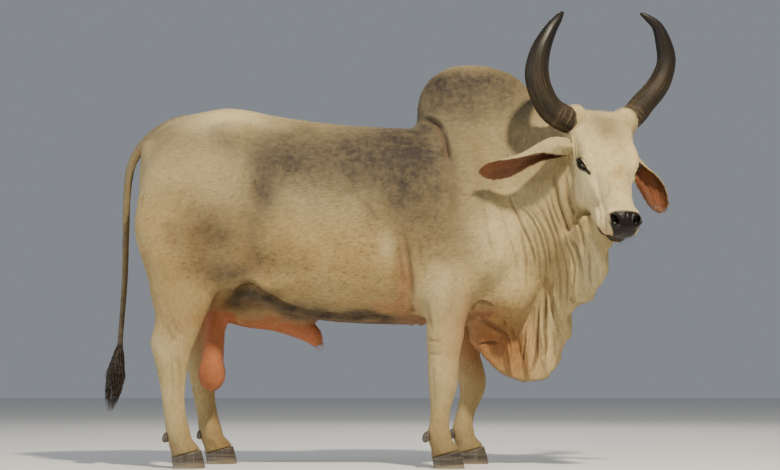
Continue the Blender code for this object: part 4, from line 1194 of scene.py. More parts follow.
def hide_group():
    """Mixes the hide's colours from their strengths, with mottling, fine hair, and painted shade in the
    folds and the wrinkles' troughs.
    """
    own = settings()
    inputs = {name: ("NodeSocketFloat", 0.0) for name in (*STRENGTHS, *SKIN_ONLY)}
    for label in ("Cream", *STRENGTHS):
        inputs[f"{label} colour"] = ("NodeSocketColor", rgba(getattr(own, label.lower())))
    inputs["Place"] = ("NodeSocketVector", None)
    inputs["Tone"] = ("NodeSocketFloat", 1.0)
    outputs = {"Colour": "NodeSocketColor", "Roughness": "NodeSocketFloat", "Height": "NodeSocketFloat"}
    tree, given, results = shader_group("Hide colour", inputs, outputs)
    place = given["Place"]
    broad = noise_node(tree, place, 9.0, 4.0, 0.6)
    mottle = noise_node(tree, place, 38.0, 5.0, 0.65)
    level = scaled(tree, place, (0.35, 1.0, 1.0))
    hanging = scaled(tree, place, (1.0, 1.0, 0.35))
    hair, clump = (
        mix_number(
            tree,
            given["Upright"],
            noise_node(tree, level, scale, detail, 0.6),
            noise_node(tree, hanging, scale, detail, 0.6),
        )
        for scale, detail in ((420.0, 2.0), (120.0, 3.0))
    )
    faint = times(tree, ramp(tree, broad, 0.45, 0.75), 0.10)
    grey = times(tree, given["Grey"], ramp(tree, mottle, 0.25, 0.75, 0.86, 1.06))
    layers = {
        "Stain": times(tree, given["Stain"], ramp(tree, broad, 0.25, 0.75, 0.6, 1.1)),
        "Pale": times(tree, given["Pale"], ramp(tree, mottle, 0.2, 0.8, 0.80, 1.0)),
        "Grey": math_node(tree, "MINIMUM", plus(tree, grey, faint), 1.0),
        "Bare": times(tree, given["Bare"], ramp(tree, mottle, 0.2, 0.75, 0.86, 1.0)),
    }
    colour = given["Cream colour"]
    for label, share in layers.items():
        colour = mix(tree, share, colour, given[f"{label} colour"])
    # Painted shade in the folds, darker the deeper a point lies in one.
    colour = mix(tree, times(tree, given["Crease_shade"], 0.62), colour, CREASE_SHADE_COLOUR)
    colour = mix(tree, given["Black"], colour, given["Black colour"])
    # The wrinkles' troughs: a bump, and painted shade that darkens the colour there.
    waves = times(tree, given["Wave"], math.tau)
    waves = plus(tree, waves, times(tree, noise_node(tree, place, 30.0, 3.0), 9.0))
    waves = times(tree, math_node(tree, "SINE", waves), given["Wrinkle"])
    waves = times(tree, waves, ramp(tree, noise_node(tree, place, 55.0, 2.0), 0.35, 0.60))
    shade = times(tree, ramp(tree, clump, 0.25, 0.75, 0.84, 1.10), ramp(tree, waves, -0.9, 0.1, 0.80, 1.0))
    shade = times(tree, shade, given["Tone"])
    tone = put(tree, "ShaderNodeCombineColor", {0: shade, 1: shade, 2: shade}).outputs[0]
    tree.links.new(mix(tree, 1.0, colour, tone, "MULTIPLY"), results["Colour"])
    wet = ramp(tree, given["Black"], 0.4, 1.0)
    rough = minus(tree, minus(tree, 0.78, times(tree, wet, 0.50)), times(tree, given["Bare"], 0.14))
    tree.links.new(rough, results["Roughness"])
    height = plus(tree, times(tree, hair, 0.45), times(tree, clump, 0.55))
    cells = put(tree, "ShaderNodeTexVoronoi", {"Vector": place, "Scale": 240.0}).outputs["Distance"]
    height = plus(tree, mix_number(tree, wet, height, cells), times(tree, waves, 1.1))
    tree.links.new(height, results["Height"])
    return tree


def hide_material(name, group, skin=True, bump=0.45):
    """Short coat over skin: the strengths are stored on the piece itself."""
    made, tree, shader = new_material(name)
    inputs = {"Place": object_place(tree)}
    for label in (*STRENGTHS, *(SKIN_ONLY if skin else ("Tone",))):
        inputs[label] = own_value(tree, label.lower())
    found = put(tree, "ShaderNodeGroup", inputs, node_tree=group).outputs
    tree.links.new(found["Colour"], shader.inputs["Base Color"])
    tree.links.new(found["Roughness"], shader.inputs["Roughness"])
    add_relief(tree, shader, found["Height"], bump, 0.0022)
    shader.inputs["Sheen Weight"].default_value = 0.03 if skin else 0.10
    shader.inputs["Sheen Roughness"].default_value = 0.45
    shader.inputs["Specular IOR Level"].default_value = 0.24
    return made


def give(item, made, slot, *nodes):
    """Finishes a piece: its material, its body and the solids that it stands for; slot is not used."""
    item.data.materials.clear()
    item.data.materials.append(made)
    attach(item, "root")
    if nodes:
        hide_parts(*nodes)


# Eyes


def eye_axes(side):
    """Columns: along the eye from its rear to its front corner, towards the brow, outwards."""
    outward = Vector((0.05, 0.50, side * 0.86)).normalized()
    length = Vector((0.87, 0.46, -side * 0.20))
    length = (length - outward * length.dot(outward)).normalized()
    brow = outward.cross(length) * (1 if side > 0 else -1)
    if brow.y < 0:
        brow.negate()
    return HEAD_AXES @ Matrix((length, brow, outward)).transposed()


def eyeball(side):
    """A ball with a slightly domed cornea over the iris."""
    name = f"eye_{SIDES[side]}"
    axes = eye_axes(side)
    shape = bmesh.new()
    bmesh.ops.create_uvsphere(shape, u_segments=56, v_segments=40, radius=1)
    for vert in shape.verts:
        angle = math.acos(max(-1, min(1, vert.co.z)))
        sunk = CORNEA_RISE * (math.exp(-((angle / 0.62) ** 4)) - 1)
        vert.co *= (EYE_RADIUS - EYE_CLEARANCE) * (1 + sunk)
    turn = axes.to_4x4() if axes.determinant() > 0 else (axes @ Matrix.Diagonal((1, -1, 1))).to_4x4()
    bmesh.ops.transform(shape, matrix=turn, verts=shape.verts)
    bmesh.ops.recalc_face_normals(shape, faces=shape.faces)
    mesh = bpy.data.meshes.new(name + "_ball")
    shape.to_mesh(mesh)
    shape.free()
    along = unit(arrays_of(mesh)[0]) @ np.array(axes)
    store(mesh, "pupil", np.sqrt((along[:, 0] / 1.7) ** 2 + along[:, 1] ** 2))
    store(mesh, "iris", np.arccos(np.clip(along[:, 2], -1, 1)))
    mesh.transform(Matrix.Translation(on_head(*eye_at(side)) + SHIFT))
    mesh.shade_smooth()
    return link_new(name + "_ball", mesh), name


def eye_material():
    """A dark brown eye under a wet coat."""
    made, tree, shader = new_material("wet_dark_eye", 0.16)
    place = object_place(tree)
    fibres = ramp(tree, noise_node(tree, place, 900.0, 4.0), 0.3, 0.7)
    veins = ramp(tree, noise_node(tree, place, 300.0), 0.35, 0.65)
    brown = mix(tree, fibres, (0.020, 0.010, 0.006, 1), (0.060, 0.030, 0.014, 1))
    white = mix(tree, veins, (0.05, 0.03, 0.02, 1), (0.12, 0.08, 0.06, 1))
    colour = mix(tree, ramp(tree, own_value(tree, "pupil"), 0.22, 0.27), (0.003, 0.003, 0.004, 1), brown)
    colour = mix(tree, ramp(tree, own_value(tree, "iris"), 0.72, 0.84), colour, white)
    tree.links.new(colour, shader.inputs["Base Color"])
    shader.inputs["Coat Weight"].default_value = 0.35
    shader.inputs["Coat Roughness"].default_value = 0.05
    return made


# Horns

HORN_ORIGIN = Vector((0.860, -0.320, 1.463))
HORN_YAW = math.radians(21)
HORN_ROWS = {  # aside, up, forward, radius
    1: [
        (0.060, -0.062, -0.050, 0.050),
        (0.131, -0.041, -0.050, 0.056),
        (0.202, -0.006, -0.047, 0.053),
        (0.255, 0.068, -0.035, 0.051),
        (0.277, 0.143, -0.020, 0.049),
        (0.264, 0.227, -0.010, 0.041),
        (0.226, 0.306, -0.006, 0.029),
        (0.185, 0.362, -0.010, 0.018),
        (0.160, 0.392, -0.016, 0.007),
    ],
    -1: [
        (0.080, -0.062, -0.050, 0.048),
        (0.165, -0.022, -0.050, 0.052),
        (0.224, 0.042, -0.047, 0.051),
        (0.292, 0.124, -0.035, 0.048),
        (0.323, 0.219, -0.020, 0.040),
        (0.307, 0.295, -0.010, 0.034),
        (0.276, 0.363, -0.006, 0.023),
        (0.232, 0.399, -0.010, 0.014),
        (0.204, 0.416, -0.016, 0.006),
    ],
}


HORN_FORWARD = Vector((math.sin(HORN_YAW), -math.cos(HORN_YAW), 0))
HORN_SIDES = 48


def horn_place(side, row):
    """A row of a horn's curve as a point."""
    aside, up, ahead, _ = row
    across = HORN_FORWARD.cross(UP) * side
    return HORN_ORIGIN + SHIFT + across * aside + UP * up + HORN_FORWARD * ahead


def round_horn(angle, travelled, wide=1.0, long=1.0):
    """Places on a straightened horn, so that noise meets itself round it."""
    height = np.zeros(len(angle)) + travelled * long
    return np.stack([np.cos(angle) * wide, np.sin(angle) * wide, height], axis=1)


def horn(side):
    """A horn swept along its curve, with growth rings at the base and a smooth tip."""
    filled = smooth_path([(*horn_place(side, row), row[3]) for row in HORN_ROWS[side]], 16)
    centres = filled[:, :3]
    along = unit(np.gradient(centres, axis=0))
    hint = np.array(HORN_FORWARD)
    aside = unit(hint - along * (along @ hint)[:, None])
    cross = np.cross(aside, along)
    travelled = np.concatenate([[0], np.cumsum(np.linalg.norm(np.diff(centres, axis=0), axis=1))])
    share = travelled / travelled[-1]
    angle = np.linspace(0, math.tau, HORN_SIDES, endpoint=False)
    points = []
    for i, row in enumerate(filled):
        ring = aside[i] * np.sin(angle)[:, None] + cross[i] * np.cos(angle)[:, None]
        base = math.exp(-((share[i] / 0.42) ** 2))
        where = round_horn(angle, travelled[i], 0.9, 26)
        size = row[3] * 0.985
        size = size + np.sin(travelled[i] * 330 + 1.4 * noise(where * 1.3, 1.0, 31)) * 0.00065 * base
        size += noise(where * (2.5, 2.5, 1.0), 1.0, 32) * 0.0012 * (0.3 + base)
        size += noise(round_horn(angle, travelled[i], 6, 5), 1.0, 33) * 0.0007
        points.append(centres[i] + ring * np.maximum(size, 0.001)[:, None])
    rings = len(points)
    pairs = [(j, (j + 1) % HORN_SIDES) for j in range(HORN_SIDES)]
    starts = [i * HORN_SIDES for i in range(rings)]
    faces = [(a + j, a + k, b + k, b + j) for a, b in zip(starts, starts[1:]) for j, k in pairs]
    root = rings * HORN_SIDES
    for j, k in pairs:
        faces += [(k, j, root), (starts[-1] + j, starts[-1] + k, root + 1)]
    points = np.vstack([*points, centres[0], centres[-1] + along[-1] * 0.004])
    name = f"horn_{SIDES[side]}"
    mesh = bpy.data.meshes.new("horn")
    mesh.from_pydata(points.tolist(), [], faces)
    shape = bmesh.new()
    shape.from_mesh(mesh)
    bmesh.ops.recalc_face_normals(shape, faces=shape.faces)
    shape.to_mesh(mesh)
    shape.free()
    store(mesh, "reach", [*np.repeat(share, HORN_SIDES), 0, 1])
    around = np.array([*np.tile(angle, rings), 0, 0])
    store(mesh, "grain", round_horn(around, np.array([*np.repeat(travelled, HORN_SIDES), 0, travelled[-1]])))
    mesh.shade_smooth()
    return link_new(name + "_sheath", mesh), name


def horn_material():
    """Horn with streaks along it, scurf at the root and a dark tip."""
    own = settings()
    made, tree, shader = new_material("weathered_horn", 0.45)
    reach = own_value(tree, "reach")
    grain = own_value(tree, "grain", "Vector")
    streaks = noise_node(tree, scaled(tree, grain, (7.0, 7.0, 6.0)), 1.0, 5.0, 0.65)
    ringed = noise_node(tree, scaled(tree, grain, (0.7, 0.7, 70.0)), 1.0, 4.0, 0.6)
    patch = noise_node(tree, scaled(tree, grain, (1.4, 1.4, 9.0)), 1.0, 3.0)
    colour = mix(tree, ramp(tree, streaks, 0.35, 0.68), (0.013, 0.009, 0.005, 1), rgba(own.horn_light))
    blotch = times(tree, ramp(tree, patch, 0.42, 0.62), 0.55)
    colour = mix(tree, blotch, colour, (0.014, 0.010, 0.007, 1))
    dark = ramp(tree, plus(tree, reach, times(tree, streaks, 0.16)), 0.50, 0.92)
    colour = mix(tree, dark, colour, rgba(own.horn_dark))
    scurf = times(tree, ramp(tree, reach, 0.30, 0.10), ramp(tree, ringed, 0.45, 0.65))
    colour = mix(tree, times(tree, scurf, 0.55), colour, (0.20, 0.125, 0.062, 1))
    tree.links.new(colour, shader.inputs["Base Color"])
    tree.links.new(ramp(tree, reach, 0.15, 0.9, 0.70, 0.40), shader.inputs["Roughness"])
    shader.inputs["Specular IOR Level"].default_value = 0.30
    height = plus(tree, streaks, times(tree, ringed, ramp(tree, reach, 0.6, 0.1, 0.2, 1.4)))
    add_relief(tree, shader, height, 0.55, 0.0016)
    return made


# Hooves

HOOF_GRAIN = 0.0018


def make_hooves(leg):
    """The claws and dewclaws of one leg, smoothed and ringed."""
    names = [f"{leg}_{end}" for end in ("hoof_right", "hoof_left", "dewclaw_right", "dewclaw_left")]
    made = new_object(f"{leg}_hooves", *stack([solid_arrays(name) for name in names]))
    wrap(made, HOOF_GRAIN)
    soften(made, 12)
    settle(made)
    spots, triangles = arrays_of(made.data)
    normals = point_normals(spots, triangles)
    rings = np.sin(spots[:, 2] * 900 + 5 * noise(spots, 0.05, 41)) * 0.00025
    rings += np.sin(spots[:, 2] * 410 + 4 * noise(spots, 0.06, 42)) * 0.00035
    wall = 1 - np.abs(normals[:, 2])
    spots = spots + normals * (rings * wall * step(0.004, 0.012, spots[:, 2]))[:, None]
    spots[:, 2] = np.maximum(spots[:, 2], 0)
    made.data.vertices.foreach_set("co", spots.ravel())
    thin_out(made, 0.45)
    settle(made)
    made.data.shade_smooth()
    return made, names


def hoof_material():
    """Dark ringed horn, worn along its fibres and dusty near the floor."""
    made, tree, shader = new_material("dark_hoof", 0.5)
    place = object_place(tree)
    rings = noise_node(tree, scaled(tree, place, (6.0, 6.0, 150.0)), 1.0, 4.0)
    fibres = noise_node(tree, scaled(tree, place, (160.0, 160.0, 9.0)), 1.0, 3.0)
    colour = mix(tree, ramp(tree, rings, 0.35, 0.65), (0.035, 0.028, 0.023, 1), (0.095, 0.075, 0.055, 1))
    worn = times(tree, ramp(tree, fibres, 0.5, 0.75), 0.5)
    colour = mix(tree, worn, colour, (0.20, 0.16, 0.11, 1))
    height = put(tree, "ShaderNodeSeparateXYZ", {0: place}).outputs[2]
    dust = times(tree, ramp(tree, height, 0.030, 0.0), ramp(tree, rings, 0.3, 0.7, 0.3, 0.9))
    colour = mix(tree, dust, colour, (0.30, 0.24, 0.16, 1))
    tree.links.new(colour, shader.inputs["Base Color"])
    tree.links.new(ramp(tree, fibres, 0.3, 0.7, 0.38, 0.62), shader.inputs["Roughness"])
    add_relief(tree, shader, plus(tree, rings, times(tree, fibres, 0.5)), 0.5, 0.001)
    return made


# Hair

# How deep tufts are rooted in the skin, the points of a lash or whisker, and the tip of the sheath in the
# bull's own frame.
ROOT_DEPTH = 0.0009
HAIR_POINTS = 5
SHEATH_TIP = Vector((-0.306, 0, 0.505))


def lock_tree():
    """Turns lines of points into tapered locks; each keeps its own small patch of the coat's map."""
    tree = bpy.data.node_groups.new("Locks along paths", "GeometryNodeTree")
    sockets = {
        "Geometry": ("NodeSocketGeometry", None),
        "Thickness": ("NodeSocketFloat", 1.0),
        "Flatness": ("NodeSocketFloat", 0.5),
        "Sides": ("NodeSocketInt", 3),
        "Patch": ("NodeSocketFloat", 0.003),
        "Finish": ("NodeSocketMaterial", None),
    }
    for label, (kind, value) in sockets.items():
        socket = tree.interface.new_socket(label, in_out="INPUT", socket_type=kind)
        if value is not None:
            socket.default_value = value
    tree.interface.new_socket("Geometry", in_out="OUTPUT", socket_type="NodeSocketGeometry")
    given = tree.nodes.new("NodeGroupInput").outputs

    def named(label, kind="FLOAT"):
        node = put(tree, "GeometryNodeInputNamedAttribute", {"Name": label}, data_type=kind)
        return node.outputs["Attribute"]

    def kept(geometry, label, value, **own):
        inputs = {"Geometry": geometry, "Name": label, "Value": value}
        return put(tree, "GeometryNodeStoreNamedAttribute", inputs, **own).outputs[0]

    curve = put(tree, "GeometryNodeMeshToCurve", {"Mesh": given["Geometry"]}).outputs[0]
    upright = {"Curve": curve, "Normal": named("lift", "FLOAT_VECTOR")}
    curve = put(tree, "GeometryNodeSetCurveNormal", upright, mode="FREE").outputs[0]
    share = put(tree, "GeometryNodeSplineParameter").outputs["Factor"]
    curve = kept(curve, "along", share, data_type="FLOAT")
    circle = {"Resolution": given["Sides"], "Radius": 1.0}
    ring = put(tree, "GeometryNodeCurvePrimitiveCircle", circle).outputs[0]
    flat = put(tree, "ShaderNodeCombineXYZ", {0: 1.0, 1: given["Flatness"], 2: 1.0}).outputs[0]
    ring = put(tree, "GeometryNodeTransform", {"Geometry": ring, "Scale": flat}).outputs[0]
    size = times(tree, named("half_width"), given["Thickness"])
    sweep = {"Curve": curve, "Profile Curve": ring, "Scale": size, "Fill Caps": True}
    body = put(tree, "GeometryNodeCurveToMesh", sweep).outputs[0]
    inset = times(tree, named("along"), given["Patch"])
    spot = put(tree, "ShaderNodeCombineXYZ", {0: inset, 1: inset, 2: 0.0}).outputs[0]
    corner = {0: named("patch", "FLOAT_VECTOR"), 1: spot}
    place = put(tree, "ShaderNodeVectorMath", corner, operation="ADD").outputs[0]
    body = kept(body, "OFBake", place, data_type="FLOAT2", domain="CORNER")
    real = put(tree, "GeometryNodeRealizeInstances", {"Geometry": body}).outputs[0]
    last = put(tree, "GeometryNodeSetMaterial", {"Geometry": real, "Material": given["Finish"]}).outputs[0]
    tree.links.new(last, tree.nodes.new("NodeGroupOutput").inputs[0])
    return tree


def grow_locks(name, paths, half_widths, lifts, values, finish, flatness, sides=3, soft=0.0):
    """A piece of locks: paths is (locks, points, 3); values holds one number or place for each lock.

    soft is how far the locks are shaded as if they were the skin below them.
    """
    count, each, _ = paths.shape
    mesh = bpy.data.meshes.new(name)
    mesh.vertices.add(count * each)
    mesh.vertices.foreach_set("co", paths.ravel())
    first = (np.arange(count) * each)[:, None] + np.arange(each - 1)
    edges = np.stack([first, first + 1], axis=-1).reshape(-1, 2)
    mesh.edges.add(len(edges))
    mesh.edges.foreach_set("vertices", edges.ravel())
    store(mesh, "half_width", half_widths.ravel())
    for label, own in {"lift": lifts, **values}.items():
        store(mesh, label, np.repeat(own, each, axis=0))
    made = link_new(name, mesh)
    grow = made.modifiers.new("locks", "NODES")
    grow.node_group = WORK.get("locks") or WORK.setdefault("locks", lock_tree())
    chosen = {"Flatness": flatness, "Sides": sides, "Finish": finish}
    for item in grow.node_group.interface.items_tree:
        if item.in_out == "INPUT" and item.name in chosen:
            grow[item.identifier] = chosen[item.name]
    settle(made)
    mesh = made.data
    for label in ("lift", "patch", "along", "half_width"):
        if label in mesh.attributes:
            mesh.attributes.remove(mesh.attributes[label])
    mesh.shade_smooth()
    if soft and len(mesh.vertices) == count * each * sides:
        normals = point_normals(*arrays_of(mesh)) * (1 - soft)
        blend = unit(normals + np.repeat(lifts, each * sides, axis=0) * soft, 1e-9)
        mesh.normals_split_custom_set_from_vertices(blend.tolist())
    return made


class Hide:
    """The finished skin's surface, to root hair on."""

    def __init__(self, skin, flesh):
        self.points, self.triangles = arrays_of(skin.data)
        self.normals = point_normals(self.points, self.triangles)
        a, b, c = (self.points[self.triangles[:, i]] for i in range(3))
        flat = np.cross(b - a, c - a)
        self.areas = np.linalg.norm(flat, axis=1) / 2
        self.middles = (a + b + c) / 3
        self.facing = flat / (2 * self.areas[:, None] + 1e-15)
        self.parts = flesh.part_of(self.middles)
        self.tree = BVHTree.FromPolygons(self.points.tolist(), self.triangles.tolist())
        self.values = {}
        for label in map(str.lower, STRENGTHS):
            own = np.empty(len(self.points))
            skin.data.attributes[label].data.foreach_get("value", own)
            self.values[label] = own
        self.unwrap()

    def unwrap(self):
        """A flat map of the hide: each solid's flesh is laid out from its six sides, in rows."""
        way = np.abs(self.facing).argmax(axis=1)
        sign = (self.facing[np.arange(len(way)), way] > 0).astype(int)
        island = self.parts * 6 + way * 2 + sign
        others = np.array([(1, 2), (0, 2), (0, 1)])
        boxes = []
        for number in np.unique(island):
            axes = others[number % 6 // 2]
            spots = self.middles[island == number][:, axes]
            low, high = spots.min(0), spots.max(0)
            boxes.append((number, low, high - low + 0.01))
        boxes.sort(key=lambda box: -box[2][1])
        row_width = math.sqrt(sum(box[2][0] * box[2][1] for box in boxes)) * 1.25
        x = y = row = wide = 0.0
        placed = {}
        for number, low, size in boxes:
            if x > 0 and x + size[0] > row_width:
                x, y, row = 0.0, y + row, 0.0
            placed[number] = (x - low[0], y - low[1])
            x += size[0]
            row = max(row, size[1])
            wide = max(wide, x)
        scale = 0.99 / max(wide, y + row)
        self.island, self.placed, self.others, self.scale = island, placed, others, scale

    def map_of(self, chosen, spots):
        """The map's place for spots on the chosen triangles."""
        numbers = self.island[chosen]
        axes = self.others[numbers % 6 // 2]
        rows = np.arange(len(spots))
        flat = np.stack([spots[rows, axes[:, 0]], spots[rows, axes[:, 1]]], axis=1)
        moved = flat + np.array([self.placed[number] for number in numbers])
        return np.column_stack([moved * self.scale, np.zeros(len(spots))])

    def nearest(self, spots):
        """The hide's nearest places to spots: their points, normals and places on the map."""
        found = [self.tree.find_nearest(Vector(spot)) for spot in spots]
        places = np.array([tuple(row[0]) for row in found])
        chosen = np.array([row[2] for row in found])
        normals = self.normals[self.triangles[chosen]].mean(axis=1)
        return places, unit(normals), self.map_of(chosen, places)

    def roots(self, count, density, rng):
        """count random places, as thick as density says for each triangle."""
        weight = self.areas * density
        chosen = rng.choice(len(weight), count, p=weight / weight.sum())
        one, two = rng.random(count), rng.random(count)
        over = one + two > 1
        one[over], two[over] = 1 - one[over], 1 - two[over]
        shares = np.stack([1 - one - two, one, two], axis=1)
        corners = self.triangles[chosen]
        spots = (self.points[corners] * shares[..., None]).sum(axis=1)
        normals = unit((self.normals[corners] * shares[..., None]).sum(axis=1))
        values = {label: (own[corners] * shares).sum(axis=1) for label, own in self.values.items()}
        values["patch"] = self.map_of(chosen, spots)
        return spots, normals, self.parts[chosen], values


# The way the coat lies on each solid but the head.
LIES = {
    "torso": (-1.0, 0.0, -0.40),
    "hump": (-0.85, 0.0, -0.55),
    "neck": (-0.60, 0.18, -0.75),
    "dewlap": (-0.15, 0.0, -1.0),
    "ear_right": (-0.98, -0.05, -0.20),
    "ear_left": (0.42, -0.08, -0.90),
    "scrotum": (0.0, 0.0, -1.0),
    "sheath": (0.8, 0.0, -0.5),
    "tail": (-0.05, 0.0, -1.0),
    **{leg: (-0.10, 0.0, -1.0) for leg in LEGS},
}


def lie_of(spots, normals, parts):
    """The way the coat lies: back and down the body, down the legs and face, along the ears."""
    side = np.sign(spots[:, 1] - SHIFT.y)[:, None]
    lie = np.array([LIES.get(name, (0.0, 0.0, 0.0)) for name in FLESH])[parts]
    head = parts == PART["head"]
    down, _, aside = head_place(spots[head]).T
    local = np.stack([0.85 - 1.1 * ridge_at(down, 0.05), np.full(len(down), -0.30), aside * 3.5], axis=1)
    lie[head] = local @ np.array(HEAD_AXES).T
    lie += 0.22 * noise_ways(spots, 0.12, (51, 52, 53))
    lie[:, 1:2] += 0.10 * side
    lie -= normals * (lie * normals).sum(axis=1)[:, None]
    return unit(lie, 1e-9)


def lay_tufts(name, count, points, density, length, half_width, rise, rng, sag=0.0, spread=0.18):
    """Tufts over the hide along its lie: length and rise are ranges, rise as a share of the length."""
    spots, normals, parts, values = WORK["surface"].roots(count, density, rng)
    lie = lie_of(spots, normals, parts)
    turn = rng.normal(0, spread, count)[:, None]
    way = lie * np.cos(turn) + np.cross(normals, lie) * np.sin(turn)
    long = rng.uniform(*length, count)
    lift = rng.uniform(*rise, count)
    paths = np.empty((count, points, 3))
    widths = np.empty((count, points))
    for i, t in enumerate(np.linspace(0, 1, points)):
        up = lift * long * math.sin(math.pi * min(1.0, 0.62 * t)) - ROOT_DEPTH * (1 - t)
        paths[:, i] = spots + way * (long * t)[:, None] + normals * up[:, None]
        paths[:, i, 2] -= sag * long * t * t
        widths[:, i] = half_width * (1 - 0.85 * t**1.5) * (0.75 if i == 0 else 1.0)
    widths *= rng.uniform(0.8, 1.2, count)[:, None]
    values["tone"] = rng.uniform(0.86, 1.11, count)
    return grow_locks(name, paths, widths, normals, values, WORK["coat"], 0.45, soft=0.7)


def part_mask(hide, *names):
    """1 on the hide's triangles over the named solids, 0 elsewhere."""
    return among(hide.parts, *names).astype(float)


def make_coat():
    """Short tufts over the whole hide, thickest where they break its outline."""
    hide = WORK["surface"] = Hide(WORK["skin"], WORK["flesh"])
    WORK["coat"] = hide_material("coat_tufts", WORK["hide"], skin=False, bump=0.15)
    share = settings().coat_density * 1.0
    rim = 1 + 1.2 * step(0.2, 0.9, hide.facing[:, 2]) + 0.8 * step(-0.2, -0.9, hide.facing[:, 2])
    spots = head_place(hide.middles)
    head = part_mask(hide, "head")
    face = head * step(0.50, 0.47, spots[:, 0])
    for side in SIDES:
        face *= step(0.030, 0.048, np.linalg.norm(spots - eye_at(side), axis=1))
    poll = head * step(0.075, 0.045, spots[:, 0]) * step(-0.10, -0.05, spots[:, 1])
    right = step(-0.02, 0.02, SHIFT.y - hide.middles[:, 1])
    near, far = 0.02 + right, 1.02 - right
    ears = part_mask(hide, "ear_right", "ear_left")
    limbs = part_mask(hide, *LEGS, "scrotum", "tail") * rim
    mane = part_mask(hide, "neck", "hump", "dewlap") * rim
    trunk = part_mask(hide, "torso", "sheath") * rim
    neck_tuft = ((0.012, 0.020), 0.00080, (0.03, 0.12))
    body_tuft = ((0.013, 0.022), 0.00085, (0.03, 0.12))
    areas = (
        ("coat_face", 22000, 2, face, (0.005, 0.009), 0.00042, (0.03, 0.10)),
        ("coat_ears", 11500, 3, ears, (0.008, 0.013), 0.00045, (0.06, 0.20)),
        ("coat_poll", 1500, 4, poll, (0.014, 0.026), 0.00070, (0.10, 0.30)),
        ("coat_neck_right", 13500, 3, mane * near, *neck_tuft),
        ("coat_neck_left", 13500, 3, mane * far, *neck_tuft),
        ("coat_body_right", 13000, 3, trunk * near, *body_tuft),
        ("coat_body_left", 13000, 3, trunk * far, *body_tuft),
        ("coat_legs", 20000, 2, limbs, (0.008, 0.014), 0.00065, (0.04, 0.14)),
    )
    return [
        lay_tufts(name, int(count * share), *rest, np.random.default_rng(100 + seed))
        for seed, (name, count, *rest) in enumerate(areas)
    ]


def make_fringes():
    """Longer hair on the ears' rims, the sheath's tip, round the horns and on the feet."""
    hide = WORK["surface"]
    rng = np.random.default_rng(200)
    ears = np.zeros(len(hide.middles))
    for side, word in SIDES.items():
        own = np.flatnonzero(hide.parts == PART[f"ear_{word}"])
        cup, along, _ = inside_ear(hide.middles[own], hide.facing[own], side)
        ears[own] = (cup > 0.12) * (cup < 0.88) * (0.4 + 0.6 * step(0.0, 0.3, along))
    tip = np.linalg.norm(hide.middles - np.array(SHEATH_TIP + SHIFT), axis=1)
    tip = step(0.035, 0.012, tip) * part_mask(hide, "sheath")
    horns = np.zeros(len(hide.middles))
    for side in SIDES:
        away = np.linalg.norm(hide.middles - np.array(horn_place(side, HORN_ROWS[side][1])), axis=1)
        horns = np.maximum(horns, part_mask(hide, "head") * step(0.082, 0.066, away))
    feet = part_mask(hide, *LEGS) * step(0.125, 0.095, hide.middles[:, 2])
    areas = (
        ("ear_fringe", 2600, 4, ears, (0.007, 0.013), 0.00035, (0.20, 0.50), rng, 0.15, 0.35),
        ("sheath_hair", 90, 5, tip, (0.020, 0.036), 0.00040, (0.1, 0.3), rng, 0.5, 0.4),
        ("horn_fringe", 900, 4, horns, (0.012, 0.022), 0.00050, (0.15, 0.45), rng, 0.0, 0.5),
        ("feet_fringe", 5200, 3, feet, (0.011, 0.018), 0.00055, (0.08, 0.25), rng, 0.1, 0.2),
    )
    return [lay_tufts(*row) for row in areas]


def hair_paths(roots, ways, long, rise, half_width):
    """Single hairs: rise says how they bow up or down, by the share of the length and its square."""
    share = np.linspace(0, 1, HAIR_POINTS)
    paths = roots[:, None] + ways[:, None] * (long[:, None] * share)[..., None]
    paths[..., 2] += long[:, None] * (rise[0] * share + rise[1] * share**2)
    return paths, np.tile(half_width * (1 - 0.8 * share), (len(roots), 1))


def make_lashes(finish):
    """Lashes on both lids of both eyes, drooping from the upper one."""
    rng = np.random.default_rng(300)
    starts, ways, long = [], [], []
    for side in SIDES:
        axes = np.array(eye_axes(side))
        centre = np.array(on_head(*eye_at(side)) + SHIFT)
        for lid, count, length, droop in ((1, 84, 0.024, -0.35), (-1, 34, 0.011, -0.30)):
            x = rng.uniform(-0.030, 0.034, count)
            y = lid * (0.0128 * np.sqrt(1 - (x / 0.037) ** 2) + rng.uniform(0.0006, 0.0024, count))
            z = np.sqrt(np.maximum(0.0002, (EYE_RADIUS + 0.003) ** 2 - x**2 * 0.35 - y**2))
            starts.append(centre + np.column_stack([x, y, z]) @ axes.T)
            fan = np.column_stack([x * 16 + 0.25, np.full(count, droop), np.full(count, 0.9)])
            ways.append((fan + rng.normal(0, 0.10, fan.shape)) @ axes.T)
            long.append(length * rng.uniform(0.75, 1.15, count))
    ways, long = unit(np.vstack(ways)), np.concatenate(long)
    spots, normals, patch = WORK["surface"].nearest(np.vstack(starts))
    paths, widths = hair_paths(spots - normals * 0.0008, ways, long, (-0.33, 0.22), 0.00034)
    return grow_locks("eyelashes", paths, widths, normals, {"patch": patch}, finish, 1.0)


def make_whiskers(finish):
    """Stiff single hairs on the lips and the chin."""
    hide = WORK["surface"]
    rng = np.random.default_rng(400)
    down, out, _ = head_place(hide.middles).T
    density = part_mask(hide, "head") * step(0.46, 0.52, down) * step(-0.045, -0.085, out)
    spots, normals, _, values = hide.roots(170, density, rng)
    long = rng.uniform(0.012, 0.034, len(spots))
    ways = unit(normals + rng.normal(0, 0.25, spots.shape) + (0, 0, -0.35))
    paths, widths = hair_paths(spots - normals * 0.001, ways, long, (0.0, -0.25), 0.00026)
    return grow_locks("whiskers", paths, widths, normals, {"patch": values["patch"]}, finish, 1.0)


SWITCH_TOP = Vector((-1.143, 0, 0.500))
SWITCH_LEAN = Vector((-0.14, 0, -0.99)).normalized()
SWITCH_LENGTH = 0.275
SWITCH_POINTS = 10
